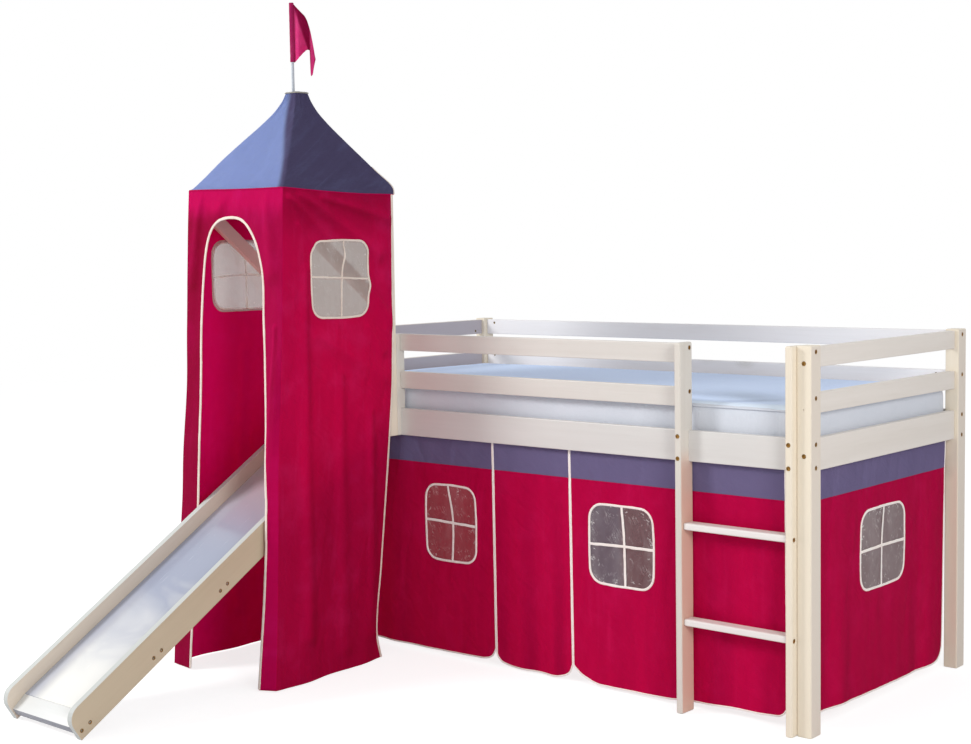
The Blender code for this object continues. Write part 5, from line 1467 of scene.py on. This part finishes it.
# %% Make the curtains
def hang(name, folds, hem, reach, window=None):
    low_corner, high_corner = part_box(name)
    along_x = name != "curtain_end"
    begin = low_corner.x if along_x else low_corner.y
    finish_at = high_corner.x if along_x else high_corner.y
    if window:
        mid_u = begin + window[0][0] * (finish_at - begin)
    begin -= reach[0]
    finish_at += reach[1]
    width = finish_at - begin
    toward = (0, -1, 0) if along_x else (1, 0, 0)
    seed = begin * 3.7
    seam = (CURTAIN_TOP - BAND_LOW) / (CURTAIN_TOP - HEM)

    def ripple(u, across, z, up, number):
        return 0.5 + 0.5 * wave(u / across, z / up, seed + number)

    def face(u, z, depth):
        share = (u - begin) / width
        fall = max(0.0, (SIDE_LOW - z) / (SIDE_LOW - HEM))
        deep = FOLD * smooth(folds, share) * fall
        deep += 0.0030 * fall * ripple(u, 0.055, z, 0.45, 0)
        deep += 0.0012 * fade(0.0, 0.15, fall) * ripple(u, 0.03, z, 0.09, 5)
        at_band = math.exp(-(((z - BAND_LOW) / 0.018) ** 2))
        at_rail = math.exp(-(((z - SIDE_LOW) / 0.012) ** 2))
        deep += 0.0012 * (at_band + 0.8 * at_rail) * ripple(u, 0.011, z, 0.12, 9)
        deep += depth
        return Vector((u, CURTAIN_Y + deep, z)) if along_x else Vector((CURTAIN_X - deep, u, z))

    def low(share):
        return HEM + HEM_RISE * smooth(hem, share)

    def place(share, down):
        if down <= seam:
            z = CURTAIN_TOP - down / seam * (CURTAIN_TOP - BAND_LOW)
        else:
            z = BAND_LOW - (down - seam) / (1 - seam) * (BAND_LOW - low(share))
        return face(begin + share * width, z, 0.0 if down <= seam else BAND_PROUD)

    shares = [0.0, 0.003, 0.006] + spread(0.01, 0.05, 0.004) + spread(0.05, 0.95, 0.008 / width)[1:]
    shares += spread(0.95, 0.99, 0.004)[1:] + [0.994, 0.997, 1.0]
    marks = [mark for mark in spread(0.0, 1.0, 0.011) if abs(mark - seam) > 0.006]
    marks = sorted(marks + [seam, seam + 0.0015])
    panel = drape(
        name + "_cloth", shares, marks, place, toward,
        flat=lambda share, down: (begin + share * width, -down * (CURTAIN_TOP - HEM)),
    )
    bend = ("bed", name, (0, 0, CURTAIN_TOP), (0, 0, CURTAIN_TOP - BENT))
    trims = []
    if window:
        (_, drop), (wide, high), film_material, bends = window
        middle, half = (mid_u, SIDE_LOW - drop), (wide / 2, high / 2)
        plane = CURTAIN_Y if along_x else CURTAIN_X
        opening = sewn_outline(*half, *middle)
        cut(panel, prism("window_cutter", opening, plane - 0.05, plane + 0.05, "Y" if along_x else "X"))
        trims += pane(
            "film_" + name, middle, half, face, toward, (film_material, 0.0082, 0.0090, 0.0018), name,
            ("window_" + name,), bends,
        )
    path = [(begin, z) for z in spread(CURTAIN_TOP - 0.001, low(0.0), 0.008)]
    path += [(begin + s * width, low(s)) for s in shares[1:]]
    path += [(finish_at, z) for z in spread(low(1.0), CURTAIN_TOP - 0.001, 0.008)[1:]]
    inset = 0.0018
    edge = [
        face(min(max(p.x, begin + inset), finish_at - inset), p.y, MIDDLE)
        for p in evened([(u, z, 0.0) for u, z in path], 0.007)
    ]
    bound = binding(name + "_binding", edge, lambda p: toward, 0.0056, 0.0042)
    finish_piece(bound, bend, [CURTAIN_TAPE])
    trims.append(bound)

    def panel_painted_shade(vert):
        """Painted shade: a fold's side that leans from the light is darker, and the end panel is darker all
        over.
        """
        u = vert.co.x if along_x else vert.co.y
        near = 0.006
        ahead, behind = face(u + near, vert.co.z, 0.0), face(u - near, vert.co.z, 0.0)
        lean = (ahead - behind).dot(Vector(toward)) / (2 * near)
        return min(1.0, max(0.0, (0.08 if along_x else 0.22) - 1.3 * lean))

    # painted shade for the panel's crimson
    mark_points(panel, "kept_dye", panel_painted_shade)
    soften(panel)
    finish_piece(panel, bend, [CURTAIN_COTTON, BAND_COTTON], (name,))
    for poly in panel.data.polygons:
        poly.material_index = int(poly.center.z > BAND_LOW - 0.0004)
    round(width * 1.03, 3)
    print(name, "hung,", round(width, 3), "m wide,", len(panel.data.polygons), "faces")


for name, cut_and_sewn in PANELS.items():
    hang(name, **cut_and_sewn)

# %% [markdown]
# ## The flag
# A small swallow-tailed flag is sewn to a sleeve that turns on the pole. It hangs in two folds, one
# tail behind the other. Its upper and lower edges are read as heights at each place along it,
# and the whole thing is turned to the side it hangs toward in the photograph.

# %% Flag
POLE_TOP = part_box("flag_pole")[1].z
FLAG_TOP = POLE_TOP + 0.002
FLY = 0.0765
FLAG_THICK = 0.0011
SLEEVE = 0.0085  # its radius
SLEEVE_LONG = 0.197
FLAG_UPPER = (
    (0.0, 0.07), (0.12, -0.07), (0.40, -0.36), (0.46, -0.42), (0.56, -0.60), (0.66, -0.92), (0.80, -1.50),
    (0.90, -2.08), (0.945, -2.36),
)
FLAG_LOWER = (
    (0.0, -2.49), (0.11, -2.40), (0.25, -2.26), (0.42, -2.03), (0.55, -1.92), (0.665, -1.95), (0.69, -2.95),
    (0.72, -3.09), (0.80, -3.03), (0.84, -2.84), (0.92, -2.50), (0.945, -2.37),
)
FLAG_FOLDS = (
    (0.0, 0.0), (0.10, -0.5), (0.22, -0.8), (0.36, 0.1), (0.50, 0.9), (0.64, 0.6), (0.78, -0.5),
    (0.90, -0.7), (1.0, 0.1),
)
flag_turn = Matrix.Translation((PEAK.x, PEAK.y, 0)) @ Matrix.Rotation(math.radians(41), 4, "Z")


def flag_point(share, down):
    x = SLEEVE * 0.8 + share * FLY
    top = FLAG_TOP - SLEEVE + smooth(FLAG_UPPER, share) * FLY
    bottom = FLAG_TOP - SLEEVE + smooth(FLAG_LOWER, share) * FLY
    z = top + (bottom - top) * down
    fall = (FLAG_TOP - z) / (3.4 * FLY)
    y = 0.020 * smooth(FLAG_FOLDS, share) * (0.35 + 0.65 * fall)
    y += 0.0008 * wave(share * 9, z * 40, 2.0)
    return flag_turn @ Vector((x, y, z))


flag_shares = spread(0.0, 0.66, 0.012) + [0.668, 0.676, 0.684, 0.69, 0.70] + spread(0.71, 0.945, 0.010)
flag_side = flag_turn.to_3x3() @ Vector((0, -1, 0))
flag = drape(
    "flag_cloth", flag_shares, spread(0.0, 1.0, 0.02), flag_point, flag_side, FLAG_THICK,
    flat=lambda share, down: (share * FLY, -down * 0.2),
)
soften(flag, 60)


def flag_painted_shade(vert):
    """Painted shade: the fold that hangs behind is darker, and the lit one widens downward; the tails get a
    middle amount.
    """
    local = flag_turn.inverted() @ vert.co
    share = (local.x - SLEEVE * 0.8) / FLY
    edge = 0.03 + 0.30 * ((FLAG_TOP - local.z) / FLY - 0.28)
    folded = max(1 - fade(0.0, 0.05, share), fade(edge - 0.03, edge + 0.09, share))
    return folded if share < 0.675 else 0.35


# painted shade for the flag's magenta
mark_points(flag, "kept_dye", flag_painted_shade)
finish_piece(flag, "flag", [FLAG_COTTON], ("flag",))


def sleeve_point(turn, z):
    angle = math.tau * turn
    out = SLEEVE - 0.0006 + 0.0007 * wave(math.cos(angle) * 2, math.sin(angle) * 2, z * 60)
    out *= 1 + 0.05 * math.cos(angle)
    return flag_turn @ Vector((out * math.cos(angle), out * math.sin(angle), z))


sleeve = drape(
    "flag_sleeve", spread(0.0, 1.0, 1 / 28), spread(FLAG_TOP, FLAG_TOP - SLEEVE_LONG, 0.006), sleeve_point,
    (0, 0, 0), 0, flat=lambda turn, z: (turn * math.tau * SLEEVE, z),
)
soften(thicken(mend(sleeve, MERGE), FLAG_THICK), 60)
# the sleeve gets a middle amount of painted shade
mark_points(sleeve, "kept_dye", lambda vert: 0.6)
finish_piece(sleeve, "flag", [FLAG_COTTON])

# %% [markdown]
# ## The mattress
# A foam block in a knitted cover. It starts as a flat outline with small round corners, just inside
# the CAD solid's sides, which is pushed up to a block and remeshed. A cloth simulation blows it up a
# little, so that the cover goes soft at the edges, and each point is kept within a few millimetres of
# where it began. A rolled seam goes round the top and the bottom edge.

# %% Mattress
PUFF = 0.007  # the most that the cover may move
SWELL = 0.0015  # the most that it may swell sideways
DRAWN_IN = 0.003  # the most that its sides are drawn in, only near the top and the bottom
EDGE = 0.020  # how near that is
low_corner, high_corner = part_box("mattress")
middle = (low_corner + high_corner) / 2
half = (high_corner - low_corner) / 2
CORNER_ROUND = 0.026  # rounder than this isn't seen, and tighter would meet the posts
START_IN = 0.002  # how far inside the solid the block starts at its sides, and twice that above and below


def mattress_ring(inset):
    return ring(half.x - inset, half.y - inset, CORNER_ROUND, middle.x, middle.y, 9)


block = prism(
    "mattress_foam", mattress_ring(START_IN),
    low_corner.z + 2 * START_IN, high_corner.z - 2 * START_IN, "Z",
)
remesh = block.modifiers.new("remesh", "REMESH")
remesh.mode = "VOXEL"
remesh.voxel_size = 0.014
apply_all(block)
start = [vert.co.copy() for vert in block.data.vertices]
cover = block.modifiers.new("cover", "CLOTH")
cover.settings.use_pressure = True
cover.settings.uniform_pressure_force = 3.0
cover.settings.effector_weights.gravity = 0.0
cover.settings.quality = 4
for number in range(1, 13):
    bpy.context.scene.frame_set(number)
apply_all(block)
bpy.context.scene.frame_set(1)
for vert, was in zip(block.data.vertices, start):
    move = vert.co - was
    pull = DRAWN_IN if abs(was.z - middle.z) > half.z - EDGE else 0.0
    for axis in (0, 1):
        side = math.copysign(1, was[axis] - middle[axis])
        move[axis] = side * min(SWELL, max(-pull, side * move[axis]))
    vert.co = was + move * min(1.0, PUFF / max(move.length, 0.0001))
    if vert.co.z > middle.z:
        vert.co.z += 0.0022 * wave(vert.co.x / 0.35, vert.co.y / 0.22, 1.0) - 0.0010
    vert.co.z = max(vert.co.z, low_corner.z + 0.0004)
subdivide = block.modifiers.new("subdivide", "SUBSURF")
subdivide.levels = subdivide.render_levels = 1
apply_all(block)
soften(block, 60)
finish_piece(block, "mattress", [COVER_TOP, COVER_BORDER], ("mattress",))
for poly in block.data.polygons:
    poly.material_index = int(poly.normal.z < 0.75)
print("mattress:", len(block.data.polygons), "faces")

# %% Mattress seams
SEAM_INSET = 0.0010
SEAM_UP = 0.0120  # from the edge
for word, height in (("upper", high_corner.z - SEAM_UP), ("lower", low_corner.z + SEAM_UP)):
    line = evened([(*p, height) for p in mattress_ring(SEAM_INSET)], 0.010, True)
    seam = binding(
        "mattress_seam_" + word, line, lambda p: (p.x - middle.x, p.y - middle.y, 0),
        wide=0.0050, thick=0.0040, closed=True,
    )
    finish_piece(seam, "mattress", [COVER_BORDER])

# %% [markdown]
# ## The slide's foot
# The deck runs out level with its foot board in the photograph, behind a hair-thin joint. A cap over
# the foot board brings it up to the deck, and turns down over its front edge, which lies in shade and is
# coloured a darker grey as painted shade.

# %% Foot cap
JOINT = 0.0007
SHELL = 0.0010
NOSE_STEP = 0.0045  # how far the cap stands over the foot board at its front
END_FACE = 0.002  # the deck's end face lies within this
(foot_low, _), (foot_under, foot_over) = slope_box("slide_foot_board")
(deck_end, _), _ = slope_box("slide_deck")
deck_spots = [along_slope(vert.co) for vert in frame["nodes"]["slide_deck"].data.vertices]
deck_over = max(above for along, above in deck_spots if along < deck_end + END_FACE)
profile = [
    (deck_end - JOINT, foot_over + GAP), (deck_end - JOINT, deck_over - GAP),
    (foot_low - SHELL, foot_over + NOSE_STEP), (foot_low - SHELL, foot_under + SHELL),
    (foot_low - GAP, foot_under + SHELL), (foot_low - GAP, foot_over + GAP),
]
outline = [(along * RUN - above * RISE, along * RISE + above * RUN) for along, above in profile]
foot_left, foot_right = (corner.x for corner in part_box("slide_foot_board"))
cap = prism("slide_foot_cap", outline, foot_left + GAP, foot_right - GAP, "X")
ease = cap.modifiers.new("ease", "BEVEL")
ease.width = 0.0004
ease.segments = 2
apply_all(cap)
soften(cap, 30)
finish_piece(cap, "slide", [CAP_TOP, CAP_FRONT])
# faces that look down and to the front take the grey, painted shade
for poly in cap.data.polygons:
    poly.material_index = int(poly.normal.y < -0.6 and poly.normal.z < 0)
print("foot cap:", round(deck_over - foot_over, 4), "m step taken up")

# %% [markdown]
# ## Bolts and barrel nuts
# The CAD has their seats, and the heads are made here, once each: a round head with a hexagon
# socket, and a barrel nut with a slot. Each is made lying face up, then copied to its seats, and
# all copies on one body are joined.


# %% Model the two heads
def head(name, radius, depth, rim, sides, socket, socket_deep, squeeze=1.0):
    """A round head, face up at the origin, with an inset and eased rim, and a socket or slot cut in it."""
    bpy.ops.object.select_all(action="DESELECT")
    place = (0, 0, -depth / 2)
    bpy.ops.mesh.primitive_cylinder_add(vertices=28, radius=radius, depth=depth, location=place)
    obj = bpy.context.object
    obj.name = name
    bpy.ops.object.mode_set(mode="EDIT")
    bpy.ops.mesh.select_all(action="DESELECT")
    bpy.ops.mesh.select_mode(type="FACE")
    bpy.ops.object.mode_set(mode="OBJECT")
    for poly in obj.data.polygons:
        poly.select = poly.normal.z > 0.9
    bpy.ops.object.mode_set(mode="EDIT")
    bpy.ops.mesh.inset(thickness=rim, depth=-rim * 0.35)
    bpy.ops.object.mode_set(mode="OBJECT")
    bpy.ops.object.transform_apply(location=True, rotation=True, scale=True)
    edge = obj.modifiers.new("ease", "BEVEL")
    edge.width = rim * 0.4
    edge.segments = 2
    edge.angle_limit = math.radians(25)
    apply_all(obj)
    bpy.ops.object.select_all(action="DESELECT")
    bpy.ops.mesh.primitive_cylinder_add(vertices=sides, radius=socket, depth=2 * socket_deep)
    tool = bpy.context.object
    tool.scale = (1, squeeze, 1)
    bpy.ops.object.transform_apply(location=False, rotation=True, scale=True)
    return cut(obj, tool)


bolt = head("bolt", radius=0.0062, depth=0.0026, rim=0.0015, sides=6, socket=0.0038, socket_deep=0.0022)
nut = head("nut", 0.0047, 0.0040, rim=0.0006, sides=4, socket=0.0058, socket_deep=0.0014, squeeze=0.22)


def set_heads(name, model, spots, body, material):
    """Copy a head to each (point, direction) and join the copies into one piece."""
    made = []
    for point, direction in spots:
        one = model.copy()
        one.data = model.data.copy()
        facing = Vector(direction).to_track_quat("Z", "Y").to_matrix().to_4x4()
        spin = Matrix.Rotation(point[2] * 40 + point[0] * 9, 4, "Z")
        one.data.transform(Matrix.Translation(point) @ facing @ spin)
        bpy.context.scene.collection.objects.link(one)
        made.append(one)
    bpy.ops.object.select_all(action="DESELECT")
    for one in made:
        one.select_set(True)
    bpy.context.view_layer.objects.active = made[0]
    bpy.ops.object.join()
    made[0].name = name
    soften(made[0], 30)
    finish_piece(made[0], body, [material])
    print(name, len(spots))


# %% [markdown]
# Each seat is found from the boards that meet there: a bolt goes through a post or stile into the end
# of each rail, at the height of that rail, and its barrel nut lies in the rail's inner face.

# %% Place them
POST_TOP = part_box("post_front_right")[1].z
TOP_GUARD, MID_GUARD = 0.018, 0.148  # depths of the bolts under the posts' tops
RAIL_PAIR = (0.278, 0.344)
END_GUARD, END_RAIL = 0.050, 0.310
SUNK, SLIDE_SUNK, NUT_SUNK = 0.0002, 0.0003, 0.0010  # how deep the heads lie
NUT_INSET = 0.039  # from a rail's end
RUNG_IN, STILE_IN = 0.0125, 0.0073  # from the front of a ladder stile and of the side rail
SLIDE_PAIR = (-0.017, 0.017)  # along the slope


def outer_face(box, axis, sign, sunk=SUNK):
    """Where a box's face on one side lies along an axis, less how deep a head is sunk in it."""
    return (box[1] if sign > 0 else box[0])[axis] - sign * sunk


def sign_of(name, plus):
    return 1 if plus in name else -1


bolt_spots = []
nut_spots = []
for post in ("post_front_right", "post_front_left", "post_rear_right", "post_rear_left"):
    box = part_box(post)
    core = (box[0] + box[1]) / 2
    sx, sy = sign_of(post, "right"), sign_of(post, "rear")
    for drop in (TOP_GUARD, MID_GUARD, *RAIL_PAIR):
        bolt_spots.append(((outer_face(box, 0, sx), core.y, POST_TOP - drop), (sx, 0, 0)))
    for drop in (END_GUARD, END_RAIL):
        bolt_spots.append(((core.x, outer_face(box, 1, sy), POST_TOP - drop), (0, sy, 0)))
for stile in ("ladder_stile_left", "ladder_stile_right"):
    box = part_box(stile)
    core = (box[0] + box[1]) / 2
    sx = sign_of(stile, "right")
    for drop in RAIL_PAIR:
        bolt_spots.append(((core.x, outer_face(box, 1, -1), POST_TOP - drop), (0, -1, 0)))
    for rung in ("ladder_rung_lower", "ladder_rung_upper"):
        height = (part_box(rung)[0].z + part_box(rung)[1].z) / 2
        bolt_spots.append(((outer_face(box, 0, sx), box[0].y + RUNG_IN, height), (sx, 0, 0)))
    if sx < 0:
        for drop in (TOP_GUARD, MID_GUARD):
            place = (outer_face(box, 0, 1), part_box("side_rail_front")[0].y + STILE_IN, POST_TOP - drop)
            bolt_spots.append((place, (1, 0, 0)))
FRONT_AND_REAR = {"side_rail_{}": RAIL_PAIR, "guard_{}_top": (TOP_GUARD,), "guard_{}_mid": (MID_GUARD,)}
for rail, drops in FRONT_AND_REAR.items():
    for side, sy in (("front", 1), ("rear", -1)):
        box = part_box(rail.format(side))
        for x in (box[0].x + NUT_INSET, box[1].x - NUT_INSET):
            for drop in drops:
                nut_spots.append(((x, outer_face(box, 1, sy, NUT_SUNK), POST_TOP - drop), (0, sy, 0)))
for rail, drop in (("end_guard_{}_top", END_GUARD), ("end_rail_{}", END_RAIL)):
    for side, sx in (("right", -1), ("left", 1)):
        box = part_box(rail.format(side))
        for y in (box[0].y + NUT_INSET, box[1].y - NUT_INSET):
            nut_spots.append(((outer_face(box, 0, sx, NUT_SUNK), y, POST_TOP - drop), (sx, 0, 0)))
set_heads("bed_bolt_heads", bolt, bolt_spots, "bed", BOLT_BRASS)
set_heads("bed_barrel_nuts", nut, nut_spots, "bed", NUT_BRASS)
slide_spots = []
for board in ("slide_board_left", "slide_board_right"):
    sx = sign_of(board, "right")
    for bar in ("slide_foot_board", *("slide_batten_" + number for number in "1234")):
        bar_middle = (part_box(bar)[0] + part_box(bar)[1]) / 2
        for shift in SLIDE_PAIR:
            y, z = bar_middle.y + shift * RUN, bar_middle.z + shift * RISE
            slide_spots.append(((outer_face(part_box(board), 0, sx, SLIDE_SUNK), y, z), (sx, 0, 0)))
set_heads("slide_bolt_heads", bolt, slide_spots, "slide", BOLT_BRASS)
for model in (bolt, nut):
    bpy.data.objects.remove(model)

# %% [markdown]
# ## Camera, light and ground
# The camera stands where the photograph's did, found by fitting the bed's own edges to it. The
# photograph is a cut-out on white with the tower's front lit from the left, so a large soft lamp
# stands near the tower and a weaker one to the right.

# %% Camera
CAMERA_SPOT = (2.201, -3.869, 1.398)
LENS, SENSOR = 58.05, 36
SHIFT_UP = -0.003656
yaw, pitch, roll = math.radians(41.336), math.radians(4.395), math.radians(-0.940)
ahead = Vector((-math.sin(yaw) * math.cos(pitch), math.cos(yaw) * math.cos(pitch), -math.sin(pitch)))
level = Vector((math.cos(yaw), math.sin(yaw), 0))
above = level.cross(ahead)
across = math.cos(roll) * level + math.sin(roll) * above
upward = math.cos(roll) * above - math.sin(roll) * level
camera = bpy.data.objects.new("camera", bpy.data.cameras.new("camera"))
bpy.context.scene.collection.objects.link(camera)
turned = Matrix((across, upward, -ahead)).transposed()
camera.matrix_world = Matrix.Translation(CAMERA_SPOT) @ turned.to_4x4()
camera.data.lens = LENS
camera.data.sensor_width = SENSOR
camera.data.shift_y = SHIFT_UP
bpy.context.scene.camera = camera


# %% Lamps and ground
def soft_lamp(name, spot, target, size, power, colour):
    data = bpy.data.lights.new(name, "AREA")
    data.shape = "DISK"
    data.size = size
    data.energy = power
    data.color = colour
    lamp = bpy.data.objects.new(name, data)
    bpy.context.scene.collection.objects.link(lamp)
    lamp.location = spot
    lamp.rotation_euler = (Vector(target) - Vector(spot)).to_track_quat("-Z", "Y").to_euler()


soft_lamp("key", (-3.9, -3.2, 3.0), (-1.7, -0.3, 1.2), 1.3, 110, (1.0, 0.99, 0.97))
soft_lamp("fill", (3.4, -2.4, 2.3), (-0.3, 0.2, 0.6), 1.6, 84, (1.0, 0.97, 0.93))

# %% [markdown]
# The photograph's white is behind the bed, and would light it far too much. So the world is at full
# strength only where it is seen, mirrored or seen through, and weaker as a light.

# %% World and ground
WORLD_LIGHT = 0.52
world = bpy.data.worlds.new("studio")
bpy.context.scene.world = world
world.use_nodes = True
sky = Net(world.node_tree)
seen, mirrored, seen_through = (
    sky.node("LightPath", {}, {}, f"Is {kind} Ray") for kind in ("Camera", "Glossy", "Transmission")
)
strength = sky.node("MapRange", {}, {
    "Value": seen.most(mirrored).most(seen_through), "To Min": WORLD_LIGHT, "To Max": 1.0,
})
background = sky.tree.nodes["Background"]
background.inputs["Color"].default_value = (1, 1, 1, 1)
sky.tree.links.new(strength.socket, background.inputs["Strength"])

bpy.ops.object.select_all(action="DESELECT")
bpy.ops.mesh.primitive_circle_add(vertices=96, radius=14, fill_type="NGON", location=(0, 0, -0.0005))
ground = bpy.context.object
ground.name = "ground"
paper = Finish("ground_paper", Base_Color=(0.84, 0.84, 0.86, 1), Roughness=0.95)
seen_paper = paper.node("BsdfDiffuse", {}, {"Color": (0.42, 0.42, 0.43, 1)})
glow = paper.node("Emission", {}, {"Color": (1, 1, 1, 1), "Strength": 0.78})
by_camera = paper.node("LightPath", {}, {}, "Is Camera Ray")
paper.overlay(by_camera, paper.node("AddShader", {}, {0: seen_paper, 1: glow}))
ground.data.materials.append(paper.material)
ground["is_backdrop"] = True
bpy.context.scene.view_settings.view_transform = "Standard"

# %% Print the size before and after
bpy.ops.object.select_all(action="DESELECT")
new_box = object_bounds()
for word, box in (("before", cad_box), ("after", new_box)):
    print("box", word, [tuple(round(v, 4) for v in corner) for corner in box])
